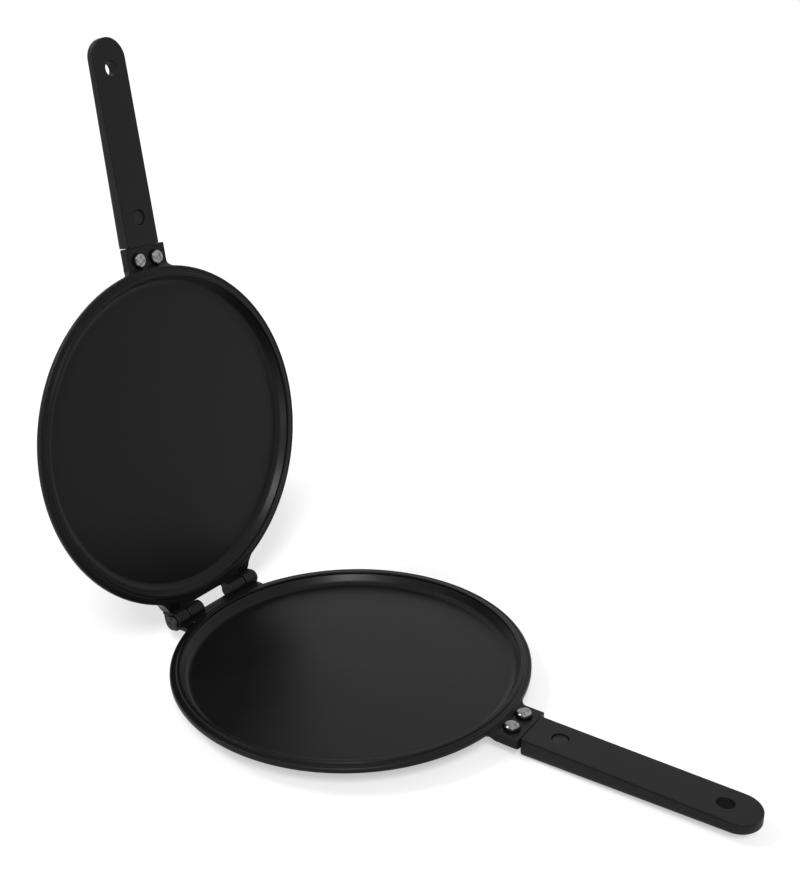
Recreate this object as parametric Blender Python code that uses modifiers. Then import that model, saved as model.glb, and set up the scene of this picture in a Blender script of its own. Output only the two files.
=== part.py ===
"""Double-sided frying pan: two hinged cast pans, each with a riveted half handle.

Units are metres. +Z is up and the lower pan lies level, with the origin at the centre of its flat
underside. +X runs from the hinge towards the lower handle and the hinge axis lies along Y.
Each half is drawn in its own frame: x and y from the pan's centre, z from the face of its flange,
with the hollow side at +z. The upper half hangs on an empty that stands on the hinge axis.
"""

import math

import bmesh
import bpy
from mathutils import Matrix, Vector

# Pan rim and bowl, in the half's own frame
RIM_RADIUS = 0.110
FLANGE_WIDTH = 0.0040
FLANGE_THICKNESS = 0.0034
RIM_EDGE_RADIUS = 0.0010
LIP_WIDTH = 0.0026
LIP_HEIGHT = 0.0010
LIP_EDGE_RADIUS = 0.0005
CAVITY_DEPTH = 0.0064
FLOOR_THICKNESS = 0.0024
FLOOR_FILLET = 0.0045
WALL_THICKNESS = 0.0018
WALL_DRAFT = 0.0020
SHELL_ROUND = 0.0137
BASE_PAD_HEIGHT = 0.0067
BASE_PAD_INSET = 0.0310
BASE_PAD_FLANK = 0.0050
BASE_PAD_EDGE = 0.0012
PAN_STEPS = 64
RIM_ARC_STEPS = 2
SHELL_ARC_STEPS = 4
FLOOR_ARC_STEPS = 4
CORNER_STEPS = 3

# How the halves meet when the pan is shut
LIP_GAP = 0.0003
OPEN_ANGLE = math.radians(98.6)

# Small gap kept between pieces that touch on the real pan
SEAT_GAP = 0.0003
CUT_OVERRUN = 0.0020

# Bracket that carries the handle, cast in one with the pan
BRACKET_HALF_WIDTH = 0.0160
BRACKET_PAST_RIVETS = 0.0082
BRACKET_DROP = 0.0026
BRACKET_THICKNESS = 0.0055
BRACKET_FLARE = 0.0050
BRACKET_CORNER = 0.0016
BRACKET_EDGE = 0.0006
BRACKET_ROOT_DEPTH = 0.0200
RAMP_REACH = 0.0014
RAMP_SHARES = ((0.20, 0.25), (0.60, 0.67), (1.0, 1.0))
RAMP_STEPS = 8

# Rivets through bracket and handle strap
RIVET_RIM_CLEARANCE = 0.0009
RIVET_SPACING = 0.0140
RIVET_HEAD_RADIUS = 0.0049
RIVET_HEAD_HEIGHT = 0.0032
RIVET_SHANK_RADIUS = 0.0024
RIVET_TAIL_RADIUS = 0.0041
RIVET_TAIL_HEIGHT = 0.0014
RIVET_TAIL_SHARES = ((1.0, 0.0), (0.88, 0.75), (0.5, 1.0), (0.0, 1.0))
RIVET_DOME_STEPS = 5
RIVET_SKIRT_SHARE = 0.12
RIVET_STEPS = 16

# Steel strap that runs from the bracket into the handle
STRAP_THICKNESS = 0.0025
STRAP_BEFORE_RIVETS = 0.0062
STRAP_PAST_RIVETS = 0.0070
STRAP_HEAD_HALF_WIDTH = 0.0128
STRAP_NECK_HALF_WIDTH = 0.0085
STRAP_GRIP_LENGTH = 0.0476
STRAP_CORNER = 0.0022
STRAP_INNER_CORNER = 0.0009

# Moulded half handle
HANDLE_DROP = 0.0030
HANDLE_START_GAP = 0.0004
HANDLE_LENGTH = 0.1261
HANDLE_WIDTH = 0.0246
HANDLE_DEPTH_ROOT = 0.0122
HANDLE_DEPTH_TIP = 0.0076
HANDLE_FACE_EDGE = 0.0007
HANDLE_BACK_POWER = 6.0
HANDLE_TIP_DEPTH_SHARE = 0.66
HANDLE_ROOT_ROUND = 0.0012
HANDLE_ROOT_SHARES = ((0.0, 0.5, 1.0), (0.33, 0.14, 0.33), (1.0, 0.0, 0.0))
HANDLE_BODY_STATIONS = 7
HANDLE_BACK_STEPS = 18
HANDLE_TIP_ANGLE_SHARES = (0.18, 0.36, 0.52, 0.66, 0.78, 0.88, 0.955)

# Hole to hang the pan by, and the pin that holds the handle on its strap
HANG_HOLE_FROM_TIP = 0.0185
HANG_HOLE_RADIUS = 0.0045
HANG_HOLE_STEPS = 24
HANDLE_PIN_FROM_ROOT = 0.0174
HANDLE_PIN_HEAD_RADIUS = 0.0045
HANDLE_PIN_HEAD_HEIGHT = 0.0012
HANDLE_PIN_SUNK = 0.0010
HANDLE_PIN_RADIUS = 0.0020
HANDLE_PIN_GRIP = 0.0024
HANDLE_PIN_EDGE = 0.0003

# Hinge
HINGE_RIM_CLEARANCE = 0.0001
HINGE_WINDOW_HALF = 0.0133
LOWER_KNUCKLE_LENGTH = 0.0127
UPPER_KNUCKLE_LENGTH = 0.0099
LOWER_KNUCKLE_RADIUS = 0.0054
UPPER_KNUCKLE_RADIUS = 0.0062
KNUCKLE_STEPS = 24
HINGE_PIN_RADIUS = 0.0024
HINGE_PIN_HEAD_RADIUS = 0.0048
HINGE_PIN_HEAD_HEIGHT = 0.0021
HINGE_PIN_SEAT = 0.0095
HINGE_PIN_RING_STEP = 0.0004
HINGE_PIN_RING_RADIUS = 0.0036
HINGE_PIN_DIMPLE_RADIUS = 0.0019
HINGE_PIN_DIMPLE_DEPTH = 0.0010
HINGE_WASHER_THICKNESS = 0.0010
HINGE_WASHER_RADIUS = 0.0047
LUG_ROOT_DEPTH = 0.0115
LUG_TOP_BELOW_FLANGE = 0.0003
LUG_EDGE = 0.0006
LUG_FLARE = 0.0060

# Heel of the upper knuckle, which meets the lower rim and stops the pan when it is open
HEEL_INSET = 0.0009
HEEL_TOP_BELOW_AXIS = 0.0013
HEEL_BOTTOM_BELOW_AXIS = 0.0042

# Worked out from the sizes above
SHELL_DEPTH = CAVITY_DEPTH + FLOOR_THICKNESS
FLANGE_HEIGHT = SHELL_DEPTH + BASE_PAD_HEIGHT
PARTING_RISE = LIP_HEIGHT + LIP_GAP / 2
BASE_PAD_RADIUS = RIM_RADIUS - BASE_PAD_INSET
LIP_OUTER = RIM_RADIUS - FLANGE_WIDTH
LIP_INNER = LIP_OUTER - LIP_WIDTH
RIVET_RADIUS_AT = RIM_RADIUS + RIVET_HEAD_RADIUS + RIVET_RIM_CLEARANCE
BRACKET_ROOT = RIM_RADIUS - BRACKET_ROOT_DEPTH
BRACKET_END = RIVET_RADIUS_AT + BRACKET_PAST_RIVETS
BRACKET_TOP = -BRACKET_DROP
BRACKET_BOTTOM = BRACKET_TOP - BRACKET_THICKNESS
STRAP_TOP = BRACKET_BOTTOM - SEAT_GAP
STRAP_BOTTOM = STRAP_TOP - STRAP_THICKNESS
STRAP_HEAD_START = RIVET_RADIUS_AT - STRAP_BEFORE_RIVETS
STRAP_HEAD_END = RIVET_RADIUS_AT + STRAP_PAST_RIVETS
HANDLE_FACE = -HANDLE_DROP
HANDLE_START = BRACKET_END + HANDLE_START_GAP
HANDLE_TIP = HANDLE_START + HANDLE_LENGTH
HANDLE_PIN_AT = HANDLE_START + HANDLE_PIN_FROM_ROOT
STRAP_END = HANDLE_START + STRAP_GRIP_LENGTH
HINGE_OFFSET = RIM_RADIUS + LOWER_KNUCKLE_RADIUS + HINGE_RIM_CLEARANCE
LUG_ROOT = RIM_RADIUS - LUG_ROOT_DEPTH
LOWER_KNUCKLE_END = HINGE_WINDOW_HALF + LOWER_KNUCKLE_LENGTH
UPPER_KNUCKLE_START = LOWER_KNUCKLE_END + HINGE_WASHER_THICKNESS + 2 * SEAT_GAP
UPPER_KNUCKLE_END = UPPER_KNUCKLE_START + UPPER_KNUCKLE_LENGTH
SHARP_ANGLE = math.radians(32)
BEVEL_ANGLE = math.radians(50)
MERGE = 0.00001

COATING = ("black_nonstick_coating", (0.018, 0.018, 0.019), 0.42, 0.0)
PHENOLIC = ("black_phenolic", (0.022, 0.022, 0.023), 0.55, 0.0)
POLISHED = ("polished_steel", (0.78, 0.77, 0.75), 0.16, 1.0)
STRAP_STEEL = ("blackened_strap_steel", (0.060, 0.060, 0.062), 0.45, 0.6)
PIN_STEEL = ("dull_pin_steel", (0.20, 0.20, 0.205), 0.40, 0.9)


def clear_scene():
    """Remove whatever the file holds, so that the model stands alone."""
    for item in list(bpy.data.objects):
        bpy.data.objects.remove(item, do_unlink=True)


def material(finish):
    """Give the material of one finish, made once."""
    name, colour, roughness, metallic = finish
    found = bpy.data.materials.get(name)
    if found:
        return found
    made = bpy.data.materials.new(name)
    made.use_nodes = True
    shader = made.node_tree.nodes["Principled BSDF"]
    shader.inputs["Base Color"].default_value = (*colour, 1.0)
    shader.inputs["Roughness"].default_value = roughness
    shader.inputs["Metallic"].default_value = metallic
    made.diffuse_color = (*colour, 1.0)
    return made


def collection(name):
    """Give a collection of the scene, made once."""
    found = bpy.data.collections.get(name)
    if not found:
        found = bpy.data.collections.new(name)
        bpy.context.scene.collection.children.link(found)
    return found


class Half:
    """One half of the pan: where its frame stands and what its pieces are called."""

    def __init__(self, name, parent, matrix):
        self.name = name
        self.parent = parent
        self.matrix = matrix

    def place(self, item):
        """Hang an object, drawn in the half's frame, where the half stands."""
        item.parent = self.parent
        item.matrix_local = self.matrix @ item.matrix_basis


def as_part(item, half, finish):
    """Make an object a visible piece of the pan."""
    collection("double_sided_frying_pan").objects.link(item)
    item.data.materials.append(material(finish))
    half.place(item)
    return item


def as_cutter(item, half=None):
    """Make an object a guide that only cuts or joins other pieces."""
    collection("cutters").objects.link(item)
    item.hide_render = True
    item.display_type = "WIRE"
    if half:
        half.place(item)
    return item


def arc(centre_r, centre_z, radius, start_deg, end_deg, steps):
    """Points of an arc in a profile, angles from +r towards +z."""
    points = []
    for step in range(steps + 1):
        angle = math.radians(start_deg + (end_deg - start_deg) * step / steps)
        points.append((centre_r + radius * math.cos(angle), centre_z + radius * math.sin(angle)))
    return points


def turned(name, profile, steps, closed=False):
    """Turn a profile about Z with a Screw modifier; the profile runs down its outer side."""
    mesh = bpy.data.meshes.new(name)
    count = len(profile)
    edges = [(index, index + 1) for index in range(count - 1)]
    if closed:
        edges.append((count - 1, 0))
    mesh.from_pydata([(r, 0.0, z) for r, z in profile], edges, [])
    item = bpy.data.objects.new(name, mesh)
    screw = item.modifiers.new("turn", "SCREW")
    screw.axis = "Z"
    screw.angle = 2 * math.pi
    screw.steps = steps
    screw.render_steps = steps
    screw.use_merge_vertices = True
    screw.merge_threshold = MERGE
    screw.use_smooth_shade = True
    return item


def cylinder(name, radius, length, steps):
    """A plain cylinder about Z, centred on the origin."""
    mesh = bpy.data.meshes.new(name)
    shape = bmesh.new()
    bmesh.ops.create_cone(shape, cap_ends=True, segments=steps, radius1=radius, radius2=radius, depth=length)
    shape.to_mesh(mesh)
    shape.free()
    return bpy.data.objects.new(name, mesh)


def block(name, low, high):
    """A box between two corners."""
    mesh = bpy.data.meshes.new(name)
    shape = bmesh.new()
    bmesh.ops.create_cube(shape, size=1.0)
    size = [top - bottom for bottom, top in zip(low, high)]
    middle = [(top + bottom) / 2 for bottom, top in zip(low, high)]
    bmesh.ops.scale(shape, vec=size, verts=shape.verts)
    bmesh.ops.translate(shape, vec=middle, verts=shape.verts)
    shape.to_mesh(mesh)
    shape.free()
    return bpy.data.objects.new(name, mesh)


def plate(name, outline, bottom, top):
    """A flat outline in x and y, filled as a 2D curve and made a mesh between two heights."""
    curve = bpy.data.curves.new(name, "CURVE")
    curve.dimensions = "2D"
    curve.fill_mode = "BOTH"
    curve.extrude = (top - bottom) / 2
    spline = curve.splines.new("POLY")
    spline.points.add(len(outline) - 1)
    for point, (x, y) in zip(spline.points, outline):
        point.co = (x, y, 0.0, 1.0)
    spline.use_cyclic_u = True
    drawn = bpy.data.objects.new(name + "_outline", curve)
    bpy.context.scene.collection.objects.link(drawn)
    bpy.context.view_layer.update()
    evaluated = drawn.evaluated_get(bpy.context.evaluated_depsgraph_get())
    mesh = bpy.data.meshes.new_from_object(evaluated)
    shape = bmesh.new()
    shape.from_mesh(mesh)
    bmesh.ops.remove_doubles(shape, verts=shape.verts, dist=MERGE)
    bmesh.ops.recalc_face_normals(shape, faces=shape.faces)
    bmesh.ops.translate(shape, vec=(0.0, 0.0, (top + bottom) / 2), verts=shape.verts)
    shape.to_mesh(mesh)
    shape.free()
    bpy.data.objects.remove(drawn, do_unlink=True)
    bpy.data.curves.remove(curve)
    return bpy.data.objects.new(name, mesh)


def rounded(corners, radii):
    """Round the corners of a closed outline, each with its own radius."""
    points = []
    count = len(corners)
    for index in range(count):
        here = Vector(corners[index])
        before = (Vector(corners[index - 1]) - here).normalized()
        after = (Vector(corners[(index + 1) % count]) - here).normalized()
        radius = radii[index]
        if radius == 0:
            points.append(tuple(here))
            continue
        half_angle = before.angle(after) / 2
        reach = radius / math.tan(half_angle)
        centre = here + (before + after).normalized() * (radius / math.sin(half_angle))
        start = here + before * reach - centre
        turn = start.angle_signed(here + after * reach - centre)
        for step in range(CORNER_STEPS + 1):
            spoke = start.copy()
            spoke.rotate(Matrix.Rotation(-turn * step / CORNER_STEPS, 2))
            points.append(tuple(centre + spoke))
    return points


def mirrored_outline(upper_side):
    """Close an outline given on its +y side with its mirror image in y."""
    return list(upper_side) + [(x, -y) for x, y in reversed(upper_side)]


def bevel(item, width, segments=1):
    """Break the sharp edges of a piece."""
    edge = item.modifiers.new("edges", "BEVEL")
    edge.width = width
    edge.segments = segments
    edge.limit_method = "ANGLE"
    edge.angle_limit = BEVEL_ANGLE
    return item


def combine(item, other, operation):
    """Join another solid to a piece or cut it away."""
    step = item.modifiers.new(operation.lower() + "_" + other.name, "BOOLEAN")
    step.operation = operation
    step.solver = "EXACT"
    step.object = other
    return item


def smooth(item):
    """Shade a finished mesh smooth between its sharp edges."""
    item.data.shade_smooth()
    item.data.set_sharp_from_angle(angle=SHARP_ANGLE)
    return item


def outer_profile():
    """Outside of a pan: lip, flange, rounded shell and thick base, down its outer side."""
    edge = RIM_EDGE_RADIUS
    lip_edge = LIP_EDGE_RADIUS
    base = -FLANGE_HEIGHT
    points = [(0.0, LIP_HEIGHT)]
    points += arc(LIP_OUTER - lip_edge, LIP_HEIGHT - lip_edge, lip_edge, 90, 0, RIM_ARC_STEPS)
    points.append((LIP_OUTER, 0.0))
    points += arc(RIM_RADIUS - edge, -edge, edge, 90, 0, RIM_ARC_STEPS)
    points += arc(RIM_RADIUS - edge, edge - FLANGE_THICKNESS, edge, 0, -90, RIM_ARC_STEPS)
    shell_base = LIP_INNER + WALL_THICKNESS - SHELL_ROUND
    drop = (SHELL_DEPTH - FLANGE_THICKNESS) / SHELL_ROUND
    for out, up in arc(shell_base, 0.0, SHELL_ROUND, 0, -90, SHELL_ARC_STEPS):
        points.append((out, up * drop - FLANGE_THICKNESS))
    points.append((BASE_PAD_RADIUS + BASE_PAD_FLANK, -SHELL_DEPTH))
    points.append((BASE_PAD_RADIUS, base + BASE_PAD_EDGE))
    points.append((BASE_PAD_RADIUS - BASE_PAD_EDGE, base))
    points.append((0.0, base))
    return points


def cavity_profile():
    """Inside of a pan, open at the lip: a drafted wall and a wide fillet to a flat floor."""
    edge = LIP_EDGE_RADIUS
    floor = -CAVITY_DEPTH
    wall_low = LIP_INNER - WALL_DRAFT
    points = [(0.0, LIP_HEIGHT + CUT_OVERRUN), (LIP_INNER + edge, LIP_HEIGHT + CUT_OVERRUN)]
    points += arc(LIP_INNER + edge, LIP_HEIGHT - edge, edge, 90, 180, RIM_ARC_STEPS)
    points += arc(wall_low - FLOOR_FILLET, floor + FLOOR_FILLET, FLOOR_FILLET, 0, -90, FLOOR_ARC_STEPS)
    points.append((0.0, floor))
    return points


def bracket_outline():
    """Plan of the bracket: square at the handle, flaring into the rim."""
    flare = BRACKET_FLARE
    half = BRACKET_HALF_WIDTH
    rim_x = math.sqrt(RIM_RADIUS ** 2 - (half + flare) ** 2)
    side = [
        (BRACKET_ROOT, half + flare),
        (rim_x - flare / 2, half + flare),
        (rim_x + flare, half),
        (BRACKET_END, half),
    ]
    radii = [0, flare, flare, BRACKET_CORNER]
    return rounded(mirrored_outline(side), radii + radii[::-1])


def ramp(half):
    """Cast fillet that runs from the flange down to the top of the bracket."""
    inner = RIM_RADIUS - FLANGE_WIDTH / 2
    top = -BRACKET_EDGE / 2
    low = -BRACKET_DROP - BRACKET_THICKNESS / 2
    profile = [(inner, low), (inner, top), (RIM_RADIUS - RIM_EDGE_RADIUS, top)]
    profile += [(RIM_RADIUS + RAMP_REACH * out, top - BRACKET_DROP * down) for out, down in RAMP_SHARES]
    profile.append((RIM_RADIUS + RAMP_REACH, low))
    span = math.asin((BRACKET_HALF_WIDTH - BRACKET_EDGE) / RIM_RADIUS)
    shape = bmesh.new()
    start = shape.faces.new([shape.verts.new((r, 0.0, z)) for r, z in profile])
    bmesh.ops.rotate(shape, verts=shape.verts, matrix=Matrix.Rotation(-span, 3, "Z"))
    geometry = [start, *start.edges, *start.verts]
    bmesh.ops.spin(shape, geom=geometry, axis=(0.0, 0.0, 1.0), steps=RAMP_STEPS, angle=2 * span)
    bmesh.ops.recalc_face_normals(shape, faces=shape.faces)
    mesh = bpy.data.meshes.new(half.name + "_ramp_guide")
    shape.to_mesh(mesh)
    shape.free()
    return as_cutter(bpy.data.objects.new(half.name + "_ramp_guide", mesh), half)


def strap_outline():
    """Plan of the strap: a wide head under the bracket and a neck that enters the handle."""
    side = [
        (STRAP_HEAD_START, STRAP_HEAD_HALF_WIDTH),
        (STRAP_HEAD_END, STRAP_HEAD_HALF_WIDTH),
        (STRAP_HEAD_END, STRAP_NECK_HALF_WIDTH),
        (STRAP_END, STRAP_NECK_HALF_WIDTH),
    ]
    radii = [STRAP_CORNER, STRAP_CORNER, STRAP_INNER_CORNER, STRAP_CORNER]
    return rounded(mirrored_outline(side), radii + radii[::-1])


def rivet_places():
    """Where the two rivets of a half stand, with the side's name."""
    return (("left", RIVET_SPACING / 2), ("right", -RIVET_SPACING / 2))


def bore(name, radius, top, bottom, x, y, half, steps=RIVET_STEPS):
    """A round hole's cutter, square to the half's faces."""
    item = cylinder(name, radius, top - bottom, steps)
    item.matrix_basis = Matrix.Translation((x, y, (top + bottom) / 2))
    return as_cutter(item, half)


def rivet(half, side, y):
    """A domed rivet with its shank and the tail formed under the strap."""
    seat = BRACKET_TOP + SEAT_GAP
    tail = STRAP_BOTTOM - SEAT_GAP
    profile = []
    for step in range(RIVET_DOME_STEPS):
        angle = math.radians(90 - 90 * step / RIVET_DOME_STEPS)
        profile.append((RIVET_HEAD_RADIUS * math.cos(angle), seat + RIVET_HEAD_HEIGHT * math.sin(angle)))
    profile.append((RIVET_HEAD_RADIUS, seat + RIVET_HEAD_HEIGHT * RIVET_SKIRT_SHARE))
    profile += [(RIVET_HEAD_RADIUS, seat), (RIVET_SHANK_RADIUS, seat), (RIVET_SHANK_RADIUS, tail)]
    profile += [(RIVET_TAIL_RADIUS * out, tail - RIVET_TAIL_HEIGHT * down) for out, down in RIVET_TAIL_SHARES]
    item = turned(f"{half.name}_rivet_{side}", profile, RIVET_STEPS)
    item.matrix_basis = Matrix.Translation((RIVET_RADIUS_AT, y, 0.0))
    return as_part(item, half, POLISHED)


def pan(half):
    """A cast pan with its bracket: turned outside, joined bracket and a turned hollow."""
    item = as_part(turned(half.name + "_pan", outer_profile(), PAN_STEPS), half, COATING)
    bracket = plate(half.name + "_bracket_guide", bracket_outline(), BRACKET_BOTTOM, BRACKET_TOP)
    bevel(as_cutter(bracket, half), BRACKET_EDGE, 2)
    combine(item, bracket, "UNION")
    combine(item, ramp(half), "UNION")
    return item


def finish_pan(item, half):
    """Hollow the pan last, so that nothing joined to it reaches into the bowl."""
    hollow = as_cutter(turned(half.name + "_hollow_guide", cavity_profile(), PAN_STEPS), half)
    combine(item, hollow, "DIFFERENCE")
    for side, y in rivet_places():
        hole = bore(
            f"{half.name}_rivet_hole_{side}",
            RIVET_SHANK_RADIUS + SEAT_GAP,
            BRACKET_TOP + CUT_OVERRUN,
            BRACKET_BOTTOM - CUT_OVERRUN,
            RIVET_RADIUS_AT,
            y,
            half,
        )
        combine(item, hole, "DIFFERENCE")


def knuckle(half, side, start, length, radius):
    """A hinge barrel about the hinge axis, on the +y or the -y side."""
    item = cylinder(f"{half.name}_knuckle_guide_{side}", radius, length, KNUCKLE_STEPS)
    sign = 1 if side == "left" else -1
    turn = Matrix.Rotation(math.pi / 2, 4, "X")
    item.matrix_basis = Matrix.Translation((-HINGE_OFFSET, sign * (start + length / 2), PARTING_RISE)) @ turn
    return as_cutter(bevel(item, LUG_EDGE, 2), half)


def lug(half, side, start, end, radius, flare):
    """The arm between rim and barrel, flaring into the rim on its outer side."""
    sign = 1 if side == "left" else -1
    corners = [(-LUG_ROOT, start), (-HINGE_OFFSET, start), (-HINGE_OFFSET, end)]
    radii = [0, 0, 0]
    if flare:
        rim_x = math.sqrt(RIM_RADIUS ** 2 - end ** 2)
        corners += [(-rim_x, end), (flare - rim_x, end + flare), (flare - LUG_ROOT, end + flare)]
        radii += [flare, 0, 0]
    else:
        corners.append((-LUG_ROOT, end))
        radii.append(0)
    outline = [(x, sign * y) for x, y in rounded(corners, radii)]
    item = plate(f"{half.name}_lug_guide_{side}", outline, PARTING_RISE - radius, -LUG_TOP_BELOW_FLANGE)
    return as_cutter(bevel(item, LUG_EDGE, 1), half)


def pin_bore(half, side, start, end):
    """The hole for the hinge pin through one barrel."""
    sign = 1 if side == "left" else -1
    item = cylinder(f"{half.name}_pin_hole_{side}", HINGE_PIN_RADIUS + SEAT_GAP, end - start, RIVET_STEPS)
    turn = Matrix.Rotation(math.pi / 2, 4, "X")
    item.matrix_basis = Matrix.Translation((-HINGE_OFFSET, sign * (start + end) / 2, PARTING_RISE)) @ turn
    return as_cutter(item, half)


def hinge_barrels(item, half, start, length, radius, flare):
    """Join a barrel with its arm to both sides of a pan."""
    for side in ("left", "right"):
        combine(item, lug(half, side, start, start + length, radius, flare), "UNION")
        combine(item, knuckle(half, side, start, length, radius), "UNION")


def heel(item, half, side):
    """The stop on an upper barrel, trimmed to the lower rim that it meets when open."""
    sign = 1 if side == "left" else -1
    near = sign * (UPPER_KNUCKLE_START + HEEL_INSET)
    far = sign * (UPPER_KNUCKLE_END - HEEL_INSET)
    axis_z = FLANGE_HEIGHT + PARTING_RISE
    low = (-HINGE_OFFSET, min(near, far), axis_z - HEEL_BOTTOM_BELOW_AXIS)
    high = (-LUG_ROOT, max(near, far), axis_z - HEEL_TOP_BELOW_AXIS)
    stop = as_cutter(block(f"heel_guide_{side}", low, high))
    trim = cylinder(f"heel_trim_{side}", RIM_RADIUS + SEAT_GAP, FLANGE_HEIGHT * 4, PAN_STEPS * 2)
    combine(stop, as_cutter(trim), "DIFFERENCE")
    combine(item, stop, "UNION")


def handle_depth(x):
    """Depth of the handle behind its flat face, tapering towards the tip."""
    share = (x - HANDLE_START) / (HANDLE_TIP - HANDLE_START)
    return HANDLE_DEPTH_ROOT + (HANDLE_DEPTH_TIP - HANDLE_DEPTH_ROOT) * share


def handle_section(x, half_width, depth):
    """One section of the handle: flat face, eased face edges and a full D-shaped back."""
    edge = min(HANDLE_FACE_EDGE, half_width / 4)
    ring = [(half_width - edge, HANDLE_FACE), (-half_width + edge, HANDLE_FACE)]
    power = 2 / HANDLE_BACK_POWER
    for step in range(HANDLE_BACK_STEPS + 1):
        angle = math.pi * (1 - step / HANDLE_BACK_STEPS)
        across = math.copysign(abs(math.cos(angle)) ** power, math.cos(angle))
        back = abs(math.sin(angle)) ** power
        ring.append((half_width * across, HANDLE_FACE - edge - (depth - edge) * back))
    return [(x, y, z) for y, z in ring]


def handle_stations():
    """Sections along the handle: eased root, tapering body and full-round tip."""
    radius = HANDLE_WIDTH / 2
    ease = HANDLE_ROOT_ROUND
    centre = HANDLE_TIP - radius
    rings = []
    for along, narrower, shallower in HANDLE_ROOT_SHARES:
        x = HANDLE_START + ease * along
        rings.append(handle_section(x, radius - ease * narrower, handle_depth(x) - ease * shallower))
    for step in range(1, HANDLE_BODY_STATIONS + 1):
        x = HANDLE_START + ease + (centre - HANDLE_START - ease) * step / HANDLE_BODY_STATIONS
        rings.append(handle_section(x, radius, handle_depth(x)))
    for share in HANDLE_TIP_ANGLE_SHARES:
        angle = share * math.pi / 2
        x = centre + radius * math.sin(angle)
        slim = HANDLE_TIP_DEPTH_SHARE + (1 - HANDLE_TIP_DEPTH_SHARE) * math.cos(angle)
        rings.append(handle_section(x, radius * math.cos(angle), handle_depth(x) * slim))
    return rings


def handle(half):
    """The moulded half handle, lofted through its sections and cut for strap, pin and hook."""
    rings = handle_stations()
    shape = bmesh.new()
    loops = [[shape.verts.new(point) for point in ring] for ring in rings]
    count = len(loops[0])
    for first, second in zip(loops, loops[1:]):
        for index in range(count):
            after = (index + 1) % count
            shape.faces.new((first[index], first[after], second[after], second[index]))
    shape.faces.new(loops[0])
    shape.faces.new(loops[-1])
    bmesh.ops.recalc_face_normals(shape, faces=shape.faces)
    mesh = bpy.data.meshes.new(half.name + "_handle")
    shape.to_mesh(mesh)
    shape.free()
    item = as_part(smooth(bpy.data.objects.new(half.name + "_handle", mesh)), half, PHENOLIC)

    side = STRAP_NECK_HALF_WIDTH + SEAT_GAP
    slot = block(
        half.name + "_strap_slot",
        (HANDLE_START - CUT_OVERRUN, -side, STRAP_BOTTOM - SEAT_GAP),
        (STRAP_END + SEAT_GAP, side, STRAP_TOP + SEAT_GAP),
    )
    combine(item, as_cutter(slot, half), "DIFFERENCE")
    hang_x = HANDLE_TIP - HANG_HOLE_FROM_TIP
    hang_low = HANDLE_FACE - HANDLE_DEPTH_ROOT - CUT_OVERRUN
    face_over = HANDLE_FACE + CUT_OVERRUN
    hang = bore(
        half.name + "_hang_hole", HANG_HOLE_RADIUS, face_over, hang_low, hang_x, 0.0, half, HANG_HOLE_STEPS
    )
    combine(item, hang, "DIFFERENCE")
    head_low = HANDLE_FACE - HANDLE_PIN_SUNK - HANDLE_PIN_HEAD_HEIGHT - SEAT_GAP
    recess = bore(
        half.name + "_pin_recess",
        HANDLE_PIN_HEAD_RADIUS + SEAT_GAP,
        face_over,
        head_low,
        HANDLE_PIN_AT,
        0.0,
        half,
        HANG_HOLE_STEPS,
    )
    combine(item, recess, "DIFFERENCE")
    grip_low = STRAP_BOTTOM - HANDLE_PIN_GRIP - SEAT_GAP
    shank = bore(
        half.name + "_pin_shank_hole",
        HANDLE_PIN_RADIUS + SEAT_GAP,
        head_low + CUT_OVERRUN / 2,
        grip_low,
        HANDLE_PIN_AT,
        0.0,
        half,
    )
    combine(item, shank, "DIFFERENCE")
    return item


def handle_pin(half):
    """The flat-headed pin pressed through the handle and its strap."""
    top = HANDLE_FACE - HANDLE_PIN_SUNK
    under = top - HANDLE_PIN_HEAD_HEIGHT
    profile = [
        (0.0, top),
        (HANDLE_PIN_HEAD_RADIUS - HANDLE_PIN_EDGE, top),
        (HANDLE_PIN_HEAD_RADIUS, top - HANDLE_PIN_EDGE),
        (HANDLE_PIN_HEAD_RADIUS, under),
        (HANDLE_PIN_RADIUS, under),
        (HANDLE_PIN_RADIUS, STRAP_BOTTOM - HANDLE_PIN_GRIP + HANDLE_PIN_EDGE),
        (HANDLE_PIN_RADIUS - HANDLE_PIN_EDGE, STRAP_BOTTOM - HANDLE_PIN_GRIP),
        (0.0, STRAP_BOTTOM - HANDLE_PIN_GRIP),
    ]
    item = turned(half.name + "_handle_pin", profile, RIVET_STEPS)
    item.matrix_basis = Matrix.Translation((HANDLE_PIN_AT, 0.0, 0.0))
    return as_part(item, half, STRAP_STEEL)


def strap(half):
    """The flat steel strap under the bracket, with its rivet and pin holes."""
    item = plate(half.name + "_handle_strap", strap_outline(), STRAP_BOTTOM, STRAP_TOP)
    as_part(smooth(item), half, STRAP_STEEL)
    top = STRAP_TOP + CUT_OVERRUN
    bottom = STRAP_BOTTOM - CUT_OVERRUN
    for side, y in rivet_places():
        name = f"{half.name}_strap_hole_{side}"
        hole = bore(name, RIVET_SHANK_RADIUS + SEAT_GAP, top, bottom, RIVET_RADIUS_AT, y, half)
        combine(item, hole, "DIFFERENCE")
    pin_hole = bore(
        half.name + "_strap_pin_hole", HANDLE_PIN_RADIUS + SEAT_GAP, top, bottom, HANDLE_PIN_AT, 0.0, half
    )
    combine(item, pin_hole, "DIFFERENCE")
    return item


def hinge_matrix(side, along):
    """Stand a turned piece on the hinge axis with its head outwards."""
    sign = 1 if side == "left" else -1
    turn = Matrix.Rotation(-sign * math.pi / 2, 4, "X")
    return Matrix.Translation((-HINGE_OFFSET, sign * along, PARTING_RISE)) @ turn


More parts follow.
